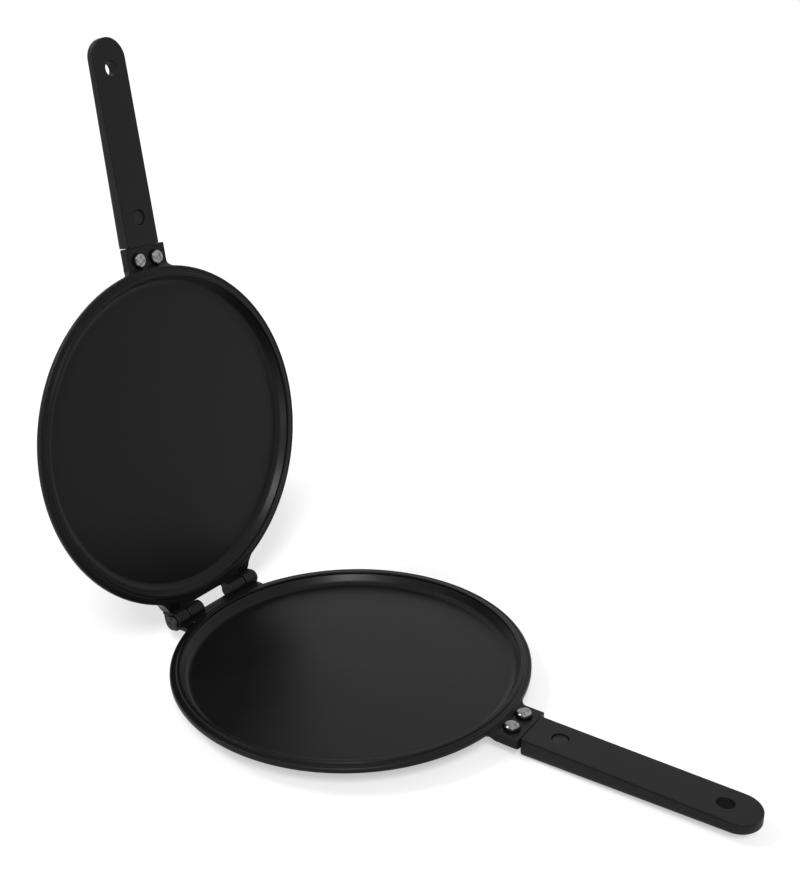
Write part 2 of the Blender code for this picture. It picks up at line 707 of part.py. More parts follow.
def hinge_pin(half, side):
    """A headed hinge pin: through the upper barrel and seated in the lower one."""
    under = UPPER_KNUCKLE_END + SEAT_GAP
    top = under + HINGE_PIN_HEAD_HEIGHT
    end = under - (UPPER_KNUCKLE_END - LOWER_KNUCKLE_END) - HINGE_PIN_SEAT
    ring = HINGE_PIN_RING_STEP
    profile = [
        (0.0, top - HINGE_PIN_DIMPLE_DEPTH),
        (HINGE_PIN_DIMPLE_RADIUS - ring, top - HINGE_PIN_DIMPLE_DEPTH + ring / 2),
        (HINGE_PIN_DIMPLE_RADIUS, top),
        (HINGE_PIN_RING_RADIUS - ring, top),
        (HINGE_PIN_RING_RADIUS, top - ring),
        (HINGE_PIN_HEAD_RADIUS - ring, top - ring),
        (HINGE_PIN_HEAD_RADIUS, top - ring * 2),
        (HINGE_PIN_HEAD_RADIUS, under),
        (HINGE_PIN_RADIUS, under),
        (HINGE_PIN_RADIUS, end),
        (0.0, end),
    ]
    item = turned(f"hinge_pin_{side}", profile, RIVET_STEPS)
    item.matrix_basis = hinge_matrix(side, 0.0)
    return as_part(item, half, PIN_STEEL)


def hinge_washer(half, side):
    """The thrust washer between the lower and the upper barrel."""
    low = LOWER_KNUCKLE_END + SEAT_GAP
    high = low + HINGE_WASHER_THICKNESS
    inner = HINGE_PIN_RADIUS + SEAT_GAP
    profile = [(inner, high), (HINGE_WASHER_RADIUS, high), (HINGE_WASHER_RADIUS, low), (inner, low)]
    item = turned(f"hinge_washer_{side}", profile, RIVET_STEPS, closed=True)
    item.matrix_basis = hinge_matrix(side, 0.0)
    return as_part(item, half, PIN_STEEL)


def build_half(half, knuckle_start, knuckle_length, knuckle_radius, flare):
    """Model every piece that the two halves share in kind."""
    body = pan(half)
    hinge_barrels(body, half, knuckle_start, knuckle_length, knuckle_radius, flare)
    handle(half)
    strap(half)
    handle_pin(half)
    for side, y in rivet_places():
        rivet(half, side, y)
    return body


def build():
    """Build the whole pan, open as it stands at rest."""
    clear_scene()
    lower = Half("lower", None, Matrix.Translation((0.0, 0.0, FLANGE_HEIGHT)))

    axis = bpy.data.objects.new("hinge_axis", None)
    collection("double_sided_frying_pan").objects.link(axis)
    axis.location = (-HINGE_OFFSET, 0.0, FLANGE_HEIGHT + PARTING_RISE)
    axis.rotation_euler = (0.0, -OPEN_ANGLE, 0.0)
    shut_over_lower = Matrix.Translation((HINGE_OFFSET, 0.0, PARTING_RISE)) @ Matrix.Rotation(math.pi, 4, "X")
    upper = Half("upper", axis, shut_over_lower)

    lower_pan = build_half(lower, HINGE_WINDOW_HALF, LOWER_KNUCKLE_LENGTH, LOWER_KNUCKLE_RADIUS, 0.0)
    pin_seat_end = LOWER_KNUCKLE_END + CUT_OVERRUN
    pin_seat_start = LOWER_KNUCKLE_END - HINGE_PIN_SEAT - SEAT_GAP
    finish_pan(lower_pan, lower)
    for side in ("left", "right"):
        combine(lower_pan, pin_bore(lower, side, pin_seat_start, pin_seat_end), "DIFFERENCE")
        hinge_pin(lower, side)
        hinge_washer(lower, side)

    upper_pan = build_half(upper, UPPER_KNUCKLE_START, UPPER_KNUCKLE_LENGTH, UPPER_KNUCKLE_RADIUS, LUG_FLARE)
    for side in ("left", "right"):
        heel(upper_pan, upper, side)
    finish_pan(upper_pan, upper)
    for side in ("left", "right"):
        through_start = UPPER_KNUCKLE_START - CUT_OVERRUN
        through_end = UPPER_KNUCKLE_END + CUT_OVERRUN
        combine(upper_pan, pin_bore(upper, side, through_start, through_end), "DIFFERENCE")
    bpy.context.view_layer.update()


build()
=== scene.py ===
"""Double-sided frying pan, dressed over its CAD frame.

The two halves are alike. Each has its own frame: x and y run from the pan's centre, z from the
face of its flange, with the hollow side at +z. HalfFrame carries that frame into the row frame.
Lengths are in metres, and angles of profiles in degrees.
"""

import logging
import math
from collections.abc import Callable, Iterable, Sequence
from dataclasses import dataclass, field
from enum import Enum

import bmesh
import bpy
from mathutils import Matrix, Vector


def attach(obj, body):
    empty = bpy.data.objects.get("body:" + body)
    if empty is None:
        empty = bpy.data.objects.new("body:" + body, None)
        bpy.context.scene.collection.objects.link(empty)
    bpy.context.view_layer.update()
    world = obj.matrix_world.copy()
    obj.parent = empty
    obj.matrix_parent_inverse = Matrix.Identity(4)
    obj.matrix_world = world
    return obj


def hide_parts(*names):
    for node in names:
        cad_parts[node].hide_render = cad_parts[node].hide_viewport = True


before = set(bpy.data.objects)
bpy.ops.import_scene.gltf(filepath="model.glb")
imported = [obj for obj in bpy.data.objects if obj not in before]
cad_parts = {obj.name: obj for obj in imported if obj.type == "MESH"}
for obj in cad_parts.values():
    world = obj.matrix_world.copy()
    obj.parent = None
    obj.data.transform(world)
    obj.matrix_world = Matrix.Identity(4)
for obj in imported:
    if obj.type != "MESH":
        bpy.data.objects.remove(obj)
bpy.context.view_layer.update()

LOG = logging.getLogger("double_sided_pan")
PICTURE_WIDTH = 800
SMOOTH_LIMIT = math.radians(38)
MERGE_DISTANCE = 1e-6
TINY = 1e-9
FINE_TURN = 64
SMALL_TURN = 56

Point2 = tuple[float, float]
Point3 = tuple[float, float, float]
Colour = tuple[float, float, float]
Ring = list[Point3]
Outline = Callable[[float], list[Point2]]
Item = bpy.types.Object
Finish = bpy.types.Material
Node = bpy.types.Node
Socket = bpy.types.NodeSocket


class HalfName(Enum):
    """Which half of the pan a piece belongs to."""

    LOWER = "lower"
    UPPER = "upper"


class Side(Enum):
    """Which side of a half a piece stands on, in the half's own frame."""

    LEFT = 1
    RIGHT = -1

    @property
    def word(self) -> str:
        """The side's name as the CAD nodes write it."""
        return self.name.lower()

    @property
    def quarter_turn(self) -> Matrix:
        """The turn that lays a piece's own z along the hinge's axis, outwards on this side."""
        return Matrix.Rotation(-self.value * math.pi / 2, 4, "X")

    def span(self, near: float, far: float) -> tuple[float, float]:
        """Give a stretch along y on this side, its lower end first."""
        ends = sorted((self.value * near, self.value * far))
        return ends[0], ends[1]


class Slot(Enum):
    """The record's material slots."""

    COATING = "black_nonstick_coating"
    PHENOLIC = "black_phenolic"
    POLISHED = "polished_steel"
    STRAP = "blackened_strap_steel"
    PIN = "dull_pin_steel"


# ---------------------------------------------------------------- finishes


@dataclass
class Graph:
    """A material's node tree, built step by step."""

    material: Finish

    @classmethod
    def fresh(cls, name: str) -> "Graph":
        """Start a new material.

        Args:
            name: The material's name.

        Returns:
            Its empty graph, with the shader and the output that Blender gives.
        """
        material = bpy.data.materials.new(name)
        material.use_nodes = True
        return cls(material)

    @property
    def shader(self) -> Node:
        """The Principled shader."""
        return self.material.node_tree.nodes["Principled BSDF"]

    def add(self, kind: str, **settings: object) -> Node:
        """Add a node.

        Args:
            kind: The node's type.
            settings: Attributes to set on it.

        Returns:
            The node.
        """
        node = self.material.node_tree.nodes.new(kind)
        for key, value in settings.items():
            setattr(node, key, value)
        return node

    def join(self, source: Socket, target: Socket) -> None:
        """Link an output to an input."""
        self.material.node_tree.links.new(source, target)

    def feed(self, source: Socket, entry: str) -> None:
        """Link an output to one of the shader's inputs."""
        self.join(source, self.shader.inputs[entry])

    def place(self) -> Socket:
        """Give the surface's place on its own object."""
        return self.add("ShaderNodeTexCoord").outputs["Object"]

    def noise(self, place: Socket, scale: float, detail: float = 3.0) -> Socket:
        """Add a noise.

        Args:
            place: Where the noise is read.
            scale: Its scale, per metre.
            detail: How many finer layers it has.

        Returns:
            Its value.
        """
        node = self.add("ShaderNodeTexNoise")
        node.inputs["Scale"].default_value = scale
        node.inputs["Detail"].default_value = detail
        self.join(place, node.inputs["Vector"])
        return node.outputs["Fac"]

    def spread(
        self, value: Socket, low: float, high: float, start: float = 0.3, end: float = 0.7
    ) -> Socket:
        """Map a value to a range.

        Args:
            value: The value that is mapped.
            low: What the start becomes.
            high: What the end becomes.
            start: Lowest value that counts.
            end: Highest value that counts.

        Returns:
            The mapped value.
        """
        node = self.add("ShaderNodeMapRange")
        node.inputs["From Min"].default_value = start
        node.inputs["From Max"].default_value = end
        node.inputs["To Min"].default_value = low
        node.inputs["To Max"].default_value = high
        self.join(value, node.inputs["Value"])
        return node.outputs["Result"]

    def ramp(self, value: Socket, low: Colour, high: Colour) -> Socket:
        """Turn a value into a colour between two.

        Args:
            value: The value, 0 to 1.
            low: Colour at 0.
            high: Colour at 1.

        Returns:
            The colour.
        """
        node = self.add("ShaderNodeMix", data_type="RGBA")
        node.inputs["A"].default_value = (*low, 1.0)
        node.inputs["B"].default_value = (*high, 1.0)
        self.join(value, node.inputs["Factor"])
        return node.outputs["Result"]

    def mottle(self, value: Socket, low: Colour, high: Colour) -> Socket:
        """Turn a noise into a colour between two, with its middle spread out."""
        return self.ramp(self.spread(value, 0.0, 1.0), low, high)

    def bump(self, height: Socket, depth: float) -> Socket:
        """Add a bump.

        Args:
            height: Its height, 0 to 1.
            depth: The real depth of the bump in metres.

        Returns:
            The bumped normal.
        """
        node = self.add("ShaderNodeBump")
        node.inputs["Distance"].default_value = depth
        self.join(height, node.inputs["Height"])
        return node.outputs["Normal"]


@dataclass(frozen=True)
class BlackSkin:
    """A black skin: grain in its colour, a fine bump, and a soft flow in its gloss."""

    name: str
    dark: Colour
    light: Colour
    smoothest: float
    roughest: float
    skin_scale: float
    skin_detail: float
    skin_depth: float
    flow_scale: float
    flow_detail: float
    grain_factor: float
    reflectance: float
    grain_detail: float = 1.0

    def material(self) -> Finish:
        """Build the skin's material.

        Returns:
            The material.
        """
        graph = Graph.fresh(self.name)
        place = graph.place()
        flow = graph.noise(place, self.flow_scale, self.flow_detail)
        skin = graph.noise(place, self.skin_scale, self.skin_detail)
        grain = graph.noise(place, self.skin_scale * self.grain_factor, self.grain_detail)
        graph.feed(graph.mottle(grain, self.dark, self.light), "Base Color")
        graph.feed(graph.spread(flow, self.smoothest, self.roughest), "Roughness")
        graph.feed(graph.bump(skin, self.skin_depth), "Normal")
        graph.shader.inputs["Specular IOR Level"].default_value = self.reflectance
        return graph.material


@dataclass(frozen=True)
class NonStickCoating(BlackSkin):
    """Sprayed satin black coating: a fine orange peel and a faint change in gloss."""

    name: str = "nonstick_coating"
    dark: Colour = (0.0030, 0.0031, 0.0034)
    light: Colour = (0.0052, 0.0053, 0.0058)
    smoothest: float = 0.30
    roughest: float = 0.38
    skin_scale: float = 1900.0
    skin_detail: float = 2.0
    skin_depth: float = 0.000012
    flow_scale: float = 26.0
    flow_detail: float = 4.0
    grain_factor: float = 3.0
    reflectance: float = 0.13


@dataclass(frozen=True)
class MouldedPhenolic(BlackSkin):
    """Matte moulded resin: filler specks, a soft flow pattern and a slightly rough skin."""

    name: str = "moulded_phenolic"
    dark: Colour = (0.0052, 0.0053, 0.0056)
    light: Colour = (0.0085, 0.0086, 0.0090)
    smoothest: float = 0.42
    roughest: float = 0.52
    skin_scale: float = 1400.0
    skin_detail: float = 3.0
    skin_depth: float = 0.000018
    flow_scale: float = 34.0
    flow_detail: float = 5.0
    grain_factor: float = 2.0
    reflectance: float = 0.13


@dataclass(frozen=True)
class Steel:
    """Steel with fine scratches: dull or blackened, by its colours and gloss."""

    name: str
    dark: Colour
    light: Colour
    smoothest: float
    roughest: float
    metallic: float
    reflectance: float = 0.5
    patch_scale: float = 240.0
    patch_detail: float = 4.0
    scratch_scale: float = 5200.0
    scratch_detail: float = 2.0
    scratch_depth: float = 0.000004

    def material(self) -> Finish:
        """Build the steel's material.

        Returns:
            The material.
        """
        graph = Graph.fresh(self.name)
        place = graph.place()
        patch = graph.noise(place, self.patch_scale, self.patch_detail)
        scratch = graph.noise(place, self.scratch_scale, self.scratch_detail)
        graph.feed(graph.mottle(patch, self.dark, self.light), "Base Color")
        graph.feed(graph.spread(patch, self.roughest, self.smoothest), "Roughness")
        graph.feed(graph.bump(scratch, self.scratch_depth), "Normal")
        graph.shader.inputs["Metallic"].default_value = self.metallic
        graph.shader.inputs["Specular IOR Level"].default_value = self.reflectance
        return graph.material


@dataclass(frozen=True)
class RivetSteel:
    """Polished steel on the crown, with a dark ring of painted shade and painted reflection round
    it on the dome's lower slope and foot.
    """

    name: str = "rivet_steel"
    dark: Colour = (0.11, 0.11, 0.108)
    light: Colour = (0.34, 0.336, 0.33)
    # dark colour of the ring of painted shade and reflection round the crown
    painted_shade: Colour = (0.012, 0.012, 0.013)
    smoothest: float = 0.08
    roughest: float = 0.18
    painted_shade_roughness: float = 0.42
    patch_scale: float = 420.0
    patch_detail: float = 4.0
    scratch_scale: float = 5200.0
    scratch_detail: float = 2.0
    scratch_depth: float = 0.000004
    mask: str = "crown"

    def material(self) -> Finish:
        """Build the rivet's material.

        Returns:
            The material.
        """
        graph = Graph.fresh(self.name)
        place = graph.place()
        patch = graph.noise(place, self.patch_scale, self.patch_detail)
        scratch = graph.noise(place, self.scratch_scale, self.scratch_detail)
        crown = graph.add("ShaderNodeAttribute", attribute_name=self.mask).outputs["Fac"]
        # outside the crown the colour falls to the dark ring: painted shade and reflection, not a
        # real coat
        mixer = graph.add("ShaderNodeMix", data_type="RGBA")
        mixer.inputs["A"].default_value = (*self.painted_shade, 1.0)
        graph.join(crown, mixer.inputs["Factor"])
        graph.join(graph.mottle(patch, self.dark, self.light), mixer.inputs["B"])
        graph.feed(mixer.outputs["Result"], "Base Color")
        gloss = graph.add("ShaderNodeMix", data_type="FLOAT")
        gloss.inputs["A"].default_value = self.painted_shade_roughness
        graph.join(crown, gloss.inputs["Factor"])
        graph.join(graph.spread(patch, self.roughest, self.smoothest), gloss.inputs["B"])
        graph.feed(gloss.outputs["Result"], "Roughness")
        graph.feed(graph.bump(scratch, self.scratch_depth), "Normal")
        graph.shader.inputs["Metallic"].default_value = 1.0
        return graph.material


STRAP_STEEL = Steel(
    name="strap_steel",
    dark=(0.009, 0.009, 0.0095),
    light=(0.017, 0.017, 0.018),
    smoothest=0.38,
    roughest=0.52,
    metallic=0.3,
    reflectance=0.16,
)
PIN_STEEL = Steel(
    name="pin_steel",
    dark=(0.012, 0.012, 0.0125),
    light=(0.038, 0.038, 0.039),
    smoothest=0.24,
    roughest=0.38,
    metallic=0.8,
)


@dataclass
class Finishes:
    """Every finish of the pan, each built once."""

    coating: Finish = field(default_factory=lambda: NonStickCoating().material())
    phenolic: Finish = field(default_factory=lambda: MouldedPhenolic().material())
    polished: Finish = field(default_factory=lambda: RivetSteel().material())
    strap: Finish = field(default_factory=STRAP_STEEL.material)
    pin: Finish = field(default_factory=PIN_STEEL.material)


# ---------------------------------------------------------------- shaping


def clamped(value: float) -> float:
    """Keep a share between 0 and 1."""
    return min(1.0, max(0.0, value))


def half_chord(radius: float, away: float) -> float:
    """Give half the chord of a circle, at a distance from its centre."""
    return math.sqrt(max(0.0, radius**2 - away**2))


def spaced(start: float, end: float, steps: int) -> list[float]:
    """Give evenly spaced values, both ends included."""
    return [start + (end - start) * step / steps for step in range(steps + 1)]


def arc(centre: Point2, radius: float, start: float, end: float, steps: int) -> list[Point2]:
    """Mark the crown of the head, outside of which the finish paints a dark ring of shade.

    Args:
        centre: Its centre.
        radius: Its radius.
        start: First angle in degrees, from the first axis towards the second.
        end: Last angle.
        steps: How many chords it has.

    Returns:
        The points, both ends included.
    """
    turns = [math.radians(turn) for turn in spaced(start, end, steps)]
    return [(centre[0] + radius * math.cos(t), centre[1] + radius * math.sin(t)) for t in turns]


def mesh_from(shape: bmesh.types.BMesh, name: str) -> Item:
    """Turn a bmesh into an object with outward normals.

    Args:
        shape: The bmesh, which is freed.
        name: The object's name.

    Returns:
        The object, not yet in the scene.
    """
    bmesh.ops.remove_doubles(shape, verts=shape.verts, dist=MERGE_DISTANCE)
    bmesh.ops.recalc_face_normals(shape, faces=shape.faces)
    mesh = bpy.data.meshes.new(name)
    shape.to_mesh(mesh)
    shape.free()
    return bpy.data.objects.new(name, mesh)


def turned(name: str, profile: Sequence[Point2], steps: int, closed: bool = False) -> Item:
    """Turn a profile of radius and height about Z.

    Args:
        name: The piece's name.
        profile: Its points, from the axis to the axis unless it is closed.
        steps: Sides of the full turn.
        closed: Whether the last point joins the first, as on a ring.

    Returns:
        The turned piece.
    """
    shape = bmesh.new()
    turns = [2 * math.pi * step / steps for step in range(steps)]
    rows: list[list[bmesh.types.BMVert]] = []
    for radius, height in profile:
        if radius < MERGE_DISTANCE:
            rows.append([shape.verts.new((0.0, 0.0, height))])
            continue
        row = [(radius * math.cos(turn), radius * math.sin(turn), height) for turn in turns]
        rows.append([shape.verts.new(point) for point in row])
    pairs = list(zip(rows, rows[1:]))
    if closed:
        pairs.append((rows[-1], rows[0]))
    for first, second in pairs:
        for index in range(steps):
            after = (index + 1) % steps
            corners = [first[index % len(first)], first[after % len(first)]]
            corners += [second[after % len(second)], second[index % len(second)]]
            unique = list(dict.fromkeys(corners))
            if len(unique) > 2:
                shape.faces.new(unique)
    return mesh_from(shape, name)


def lofted(name: str, rings: Sequence[Ring]) -> Item:
    """Skin a row of closed rings and cap both ends.

    Args:
        name: The piece's name.
        rings: Rings with the same number of points.

    Returns:
        The lofted piece.
    """
    shape = bmesh.new()
    loops = [[shape.verts.new(point) for point in ring] for ring in rings]
    count = len(loops[0])
    for first, second in zip(loops, loops[1:]):
        for index in range(count):
            after = (index + 1) % count
            shape.faces.new((first[index], first[after], second[after], second[index]))
    shape.faces.new(loops[0])
    shape.faces.new(loops[-1])
    return mesh_from(shape, name)


def baked(item: Item) -> Item:
    """Apply an object's modifiers.

    Args:
        item: The object, which is linked to the scene for the time it takes.

    Returns:
        The same object with its finished mesh.
    """
    scene = bpy.context.scene.collection
    linked = item.name in scene.objects
    if not linked:
        scene.objects.link(item)
    bpy.context.view_layer.update()
    graph = bpy.context.evaluated_depsgraph_get()
    mesh = bpy.data.meshes.new_from_object(item.evaluated_get(graph))
    item.modifiers.clear()
    item.data = mesh
    if not linked:
        scene.objects.unlink(item)
    return item


def cut(item: Item, tools: Sequence[Item]) -> Item:
    """Cut other solids away from a piece.

    Args:
        item: The piece.
        tools: The solids, which are removed afterwards.

    Returns:
        The cut piece.
    """
    scene = bpy.context.scene.collection
    for tool in tools:
        scene.objects.link(tool)
        step = item.modifiers.new("cut", "BOOLEAN")
        step.operation = "DIFFERENCE"
        step.solver = "EXACT"
        step.object = tool
    baked(item)
    for tool in tools:
        bpy.data.objects.remove(tool, do_unlink=True)
    return item


def fused(name: str, items: Iterable[Item]) -> Item:
    """Put the meshes of several objects into one object.

    Args:
        name: The new piece's name.
        items: The objects, which are removed afterwards.

    Returns:
        The one piece.
    """
    shape = bmesh.new()
    for item in items:
        item.data.transform(item.matrix_basis)
        shape.from_mesh(item.data)
        bpy.data.objects.remove(item, do_unlink=True)
    mesh = bpy.data.meshes.new(name)
    shape.to_mesh(mesh)
    shape.free()
    return bpy.data.objects.new(name, mesh)


@dataclass(frozen=True)
class HalfFrame:
    """Where one half of the pan stands, and the body that carries it."""

    half: HalfName
    flange_height: float = 0.0155
    hinge_offset: float = 0.1155
    parting_rise: float = 0.00115
    open_angle: float = math.radians(98.6)

    @property
    def body(self) -> str:
        """The CAD body of this half."""
        return f"{self.half.value}_half"

    @property
    def matrix(self) -> Matrix:
        """The half's own frame in the row frame, at rest."""
        if self.half is HalfName.LOWER:
            return Matrix.Translation((0.0, 0.0, self.flange_height))
        axis = Matrix.Translation((-self.hinge_offset, 0.0, self.flange_height + self.parting_rise))
        swing = Matrix.Rotation(-self.open_angle, 4, "Y")
        flip = Matrix.Rotation(math.pi, 4, "X")
        shut = Matrix.Translation((self.hinge_offset, 0.0, self.parting_rise)) @ flip
        return axis @ swing @ shut

    def on_hinge(self, along: float = 0.0) -> Matrix:
        """Give the move to a place on the hinge's axis, in the half's frame."""
        return Matrix.Translation((-self.hinge_offset, along, self.parting_rise))

    def seat(self, item: Item, finish: Finish, slot: Slot, nodes: Sequence[str]) -> Item:
        """Put a finished piece on the half, in its place and finish.

        Args:
            item: The piece, drawn in the half's frame.
            finish: Its finish.
            slot: The record's slot of that finish; not used.
            nodes: The CAD nodes that it stands for.

        Returns:
            The piece.
        """
        item.data.transform(self.matrix @ item.matrix_basis)
        item.matrix_basis = Matrix.Identity(4)
        item.data.materials.clear()
        item.data.materials.append(finish)
        bpy.context.scene.collection.objects.link(item)
        item.data.shade_smooth()
        item.data.set_sharp_from_angle(angle=SMOOTH_LIMIT)
        weight = item.modifiers.new("even_shading", "WEIGHTED_NORMAL")
        weight.keep_sharp = True
        baked(item)
        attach(item, self.body)
        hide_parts(*nodes)
        LOG.info("%s: %d faces on %s", item.name, len(item.data.polygons), self.body)
        return item


# ---------------------------------------------------------------- pan body


@dataclass(frozen=True)
class BarSection:
    """A rounded bar's section, used along the bracket, the strap and the hinge arms."""

    corner: float = 0.0007
    side_parts: int = 3
    corner_steps: int = 3
    top_steps: int = 10

    def edge(self, *sides: float) -> float:
        """Give the edge's radius, which takes no more than one part of the shortest side."""
        return min(self.corner, *(side / self.side_parts for side in sides))

    def ring(self, x: float, low_y: float, high_y: float, bottom: float, top: float) -> Ring:
        """Give one ring of the bar.

        Args:
            x: Where it stands along the bar.
            low_y: Its lower side.
            high_y: Its upper side.
            bottom: Its underside.
            top: Its top.

        Returns:
            The ring's points.
        """
        edge = self.edge(high_y - low_y, top - bottom)
        points: list[Point2] = []
        spots = (
            ((high_y - edge, top - edge), 0.0),
            ((low_y + edge, top - edge), 90.0),
            ((low_y + edge, bottom + edge), 180.0),
            ((high_y - edge, bottom + edge), 270.0),
        )
        for index, (centre, angle) in enumerate(spots):
            points += arc(centre, edge, angle, angle + 90.0, self.corner_steps)
            if index == 0:
                width = high_y - low_y - 2 * edge
                steps = range(1, self.top_steps)
                points += [(high_y - edge - width * step / self.top_steps, top) for step in steps]
        return [(x, y, z) for y, z in points]


@dataclass(frozen=True)
class PanBody:
    """A cast pan: turned shell with lip and flange, handle bracket and hinge arms with barrels."""

    stand: HalfFrame
    rim_radius: float = 0.110
    rim_edge: float = 0.0010
    flange_width: float = 0.0040
    flange_thickness: float = 0.0034
    flange_line: float = 0.1081
    flange_line_width: float = 0.0006
    flange_line_depth: float = 0.0003
    lip_width: float = 0.0026
    lip_height: float = 0.0010
    lip_edge: float = 0.0005
    lip_groove: float = 0.0004
    cavity_depth: float = 0.0064
    floor_thickness: float = 0.0024
    floor_shares: tuple[float, ...] = (0.25, 0.5, 0.75)
    floor_fillet: float = 0.0058
    wall_foot: float = 0.0040
    wall_thickness: float = 0.0018
    undercut: float = 0.0003
    undercut_low: float = -0.0013
    undercut_high: float = -0.0004
    mouth_ease: float = 0.0001
    shell_round: float = 0.0137
    pad_height: float = 0.0067
    pad_radius: float = 0.0790
    pad_flank: float = 0.0050
    pad_edge: float = 0.0012
    turning_depth: float = 0.00025
    turning_pitch: float = 0.0075
    turning_width: float = 0.0012
    bracket_half_width: float = 0.0160
    bracket_end: float = 0.1240
    bracket_drop: float = 0.0026
    bracket_thickness: float = 0.0055
    bracket_corner: float = 0.0003
    bracket_root: float = 0.0135
    bracket_cover: float = 0.0006
    bracket_clear: float = 0.00012
    bracket_under_clear: float = 0.0001
    bracket_thinnest: float = 0.0002
    bracket_fall_from: float = 0.0012
    bracket_fall: float = 0.0034
    bracket_flare: float = 0.0050
    bracket_flare_share: float = 1.4
    bracket_unit: float = 0.001
    bracket_steps: int = 68
    steps: int = 288

    @property
    def lip_outer(self) -> float:
        """Outer radius of the lip."""
        return self.rim_radius - self.flange_width

    @property
    def lip_inner(self) -> float:
        """Radius of the mouth."""
        return self.lip_outer - self.lip_width

    @property
    def shell_depth(self) -> float:
        """Depth of the shell below the flange face."""
        return self.cavity_depth + self.floor_thickness

    @property
    def shell_foot(self) -> float:
        """Radius where the shell's flat underside turns up into its rounded shoulder."""
        return self.lip_inner + self.wall_thickness - self.shell_round

    def inside(self) -> list[Point2]:
        """Draw the hollow side.

        Returns:
            Its profile, from the axis out to the lip.
        """
        foot = self.lip_inner - self.wall_foot
        lean = math.atan2(self.wall_foot, self.cavity_depth + self.undercut_low)
        back = self.floor_fillet * math.tan((math.pi / 2 - lean) / 2)
        centre = (foot - back, self.floor_fillet - self.cavity_depth)
        points: list[Point2] = [(0.0, -self.cavity_depth)]
        points += [(foot * share, -self.cavity_depth) for share in self.floor_shares]
        points += arc(centre, self.floor_fillet, -90, -math.degrees(lean), 8)
        wide = self.lip_inner + self.undercut
        points.append((self.lip_inner - self.mouth_ease, self.undercut_low))
        points.append((wide, self.undercut_low + self.undercut))
        points.append((wide, self.undercut_high))
        points.append((self.lip_inner, -self.mouth_ease))
        edge = self.lip_edge
        points += arc((self.lip_inner + edge, self.lip_height - edge), edge, 180, 90, 4)
        return points

    def outside(self) -> list[Point2]:
        """Draw the lip's outside, the flange, the shell and the base.

        Returns:
            Their profile, from the lip to the base's centre.
        """
        lip_edge, groove, edge = self.lip_edge, self.lip_groove, self.rim_edge
        points = arc((self.lip_outer - lip_edge, self.lip_height - lip_edge), lip_edge, 90, 0, 4)
        points += arc((self.lip_outer + groove, groove), groove, 180, 270, 3)
        middle, half, deep = self.flange_line, self.flange_line_width / 2, self.flange_line_depth
        points += [(middle - half, 0.0), (middle - half / 2, -deep)]
        points += [(middle + half / 2, -deep), (middle + half, 0.0)]
        points += arc((self.rim_radius - edge, -edge), edge, 90, 0, 5)
        points += arc((self.rim_radius - edge, edge - self.flange_thickness), edge, 0, -90, 5)
        drop = (self.shell_depth - self.flange_thickness) / self.shell_round
        for out, up in arc((self.shell_foot, 0.0), self.shell_round, 0, -90, 14):
            points.append((out, up * drop - self.flange_thickness))
        foot = -self.shell_depth - self.pad_height
        points.append((self.pad_radius + self.pad_flank, -self.shell_depth))
        pad_edge = self.pad_edge
        points += arc((self.pad_radius - pad_edge, foot + pad_edge), pad_edge, 0, -90, 4)
        points += self.turning_rings(foot)
        points.append((0.0, foot))
        return points

    def turning_rings(self, foot: float) -> list[Point2]:
        """Draw fine turning steps on the thick base.

        Args:
            foot: Height of the base's face.

        Returns:
            Shallow grooves, from the outside in.
        """
        points: list[Point2] = []
        groove, width = foot + self.turning_depth, self.turning_width
        radius = self.pad_radius - self.pad_edge - self.turning_pitch / 2
        while radius > self.turning_pitch:
            points += [(radius, foot), (radius - width / 4, groove)]
            points += [(radius - width * 3 / 4, groove), (radius - width, foot)]
            radius -= self.turning_pitch
        return points

    def bracket(self) -> Item:
        """Build the flared bracket, which falls from the flange to the handle's level.

        Returns:
            The bracket.
        """
        section, unit = BarSection(), self.bracket_unit
        rings: list[Ring] = []
        start = self.rim_radius - self.bracket_root
        for x in spaced(start, self.bracket_end, self.bracket_steps):
            half = self.bracket_half(x)
            ring = section.ring(x, -half, half, 0.0, unit)
            rings.append([(x, y, self.bracket_height(x, y, z / unit)) for _, y, z in ring])
        return lofted("bracket", rings)

    def bracket_half(self, x: float) -> float:
        """Give half the bracket's width.

        Args:
            x: How far out from the pan's centre.

        Returns:
            The half width, with the flare at the rim and the small corners at the end.
        """
        flare, half, corner = self.bracket_flare, self.bracket_half_width, self.bracket_corner
        rim_x = half_chord(self.rim_radius, half + flare)
        if x < rim_x:
            half += flare * half_chord(1.0, (rim_x - x) / (self.bracket_flare_share * flare))
        elif x < rim_x + flare:
            half += flare * (1 - half_chord(1.0, (rim_x + flare - x) / flare))
        inset = x - (self.bracket_end - corner)
        if inset > 0:
            half -= corner - half_chord(corner, inset)
        return half

    def bracket_top(self, x: float, y: float) -> float:
        """Give the height of the bracket's top.

        Args:
            x: How far out from the pan's centre.
            y: How far to the side.

        Returns:
            The height, which falls smoothly past the rim.
        """
        radius = math.hypot(x, y)
        if radius < self.lip_inner + self.wall_thickness:
            return self.shell_outside(radius) + self.bracket_cover
        start = self.rim_radius - self.bracket_fall_from
        share = clamped((radius - start) / self.bracket_fall)
        eased = share * share * (3 - 2 * share)
        return -self.bracket_clear - (self.bracket_drop - self.bracket_clear) * eased

    def bracket_under(self, y: float) -> float:
        """Give the bracket's underside, which rises to the flange at the tips of the flare.

        Args:
            y: How far to the side.

        Returns:
            Its height there.
        """
        bottom = -self.bracket_drop - self.bracket_thickness
        share = clamped((abs(y) - self.bracket_half_width) / self.bracket_flare)
        rise = -self.flange_thickness - self.bracket_under_clear - bottom
        return bottom + rise * math.sin(share * math.pi / 2)

    def shell_outside(self, radius: float) -> float:
        """Give the height of the shell's outside under the flange.

        Args:
            radius: How far from the pan's centre.

        Returns:
            The height of the rounded shoulder there.
        """
        share = max(0.0, radius - self.shell_foot) / self.shell_round
        drop = self.shell_depth - self.flange_thickness
        return -self.flange_thickness - drop * half_chord(1.0, share)

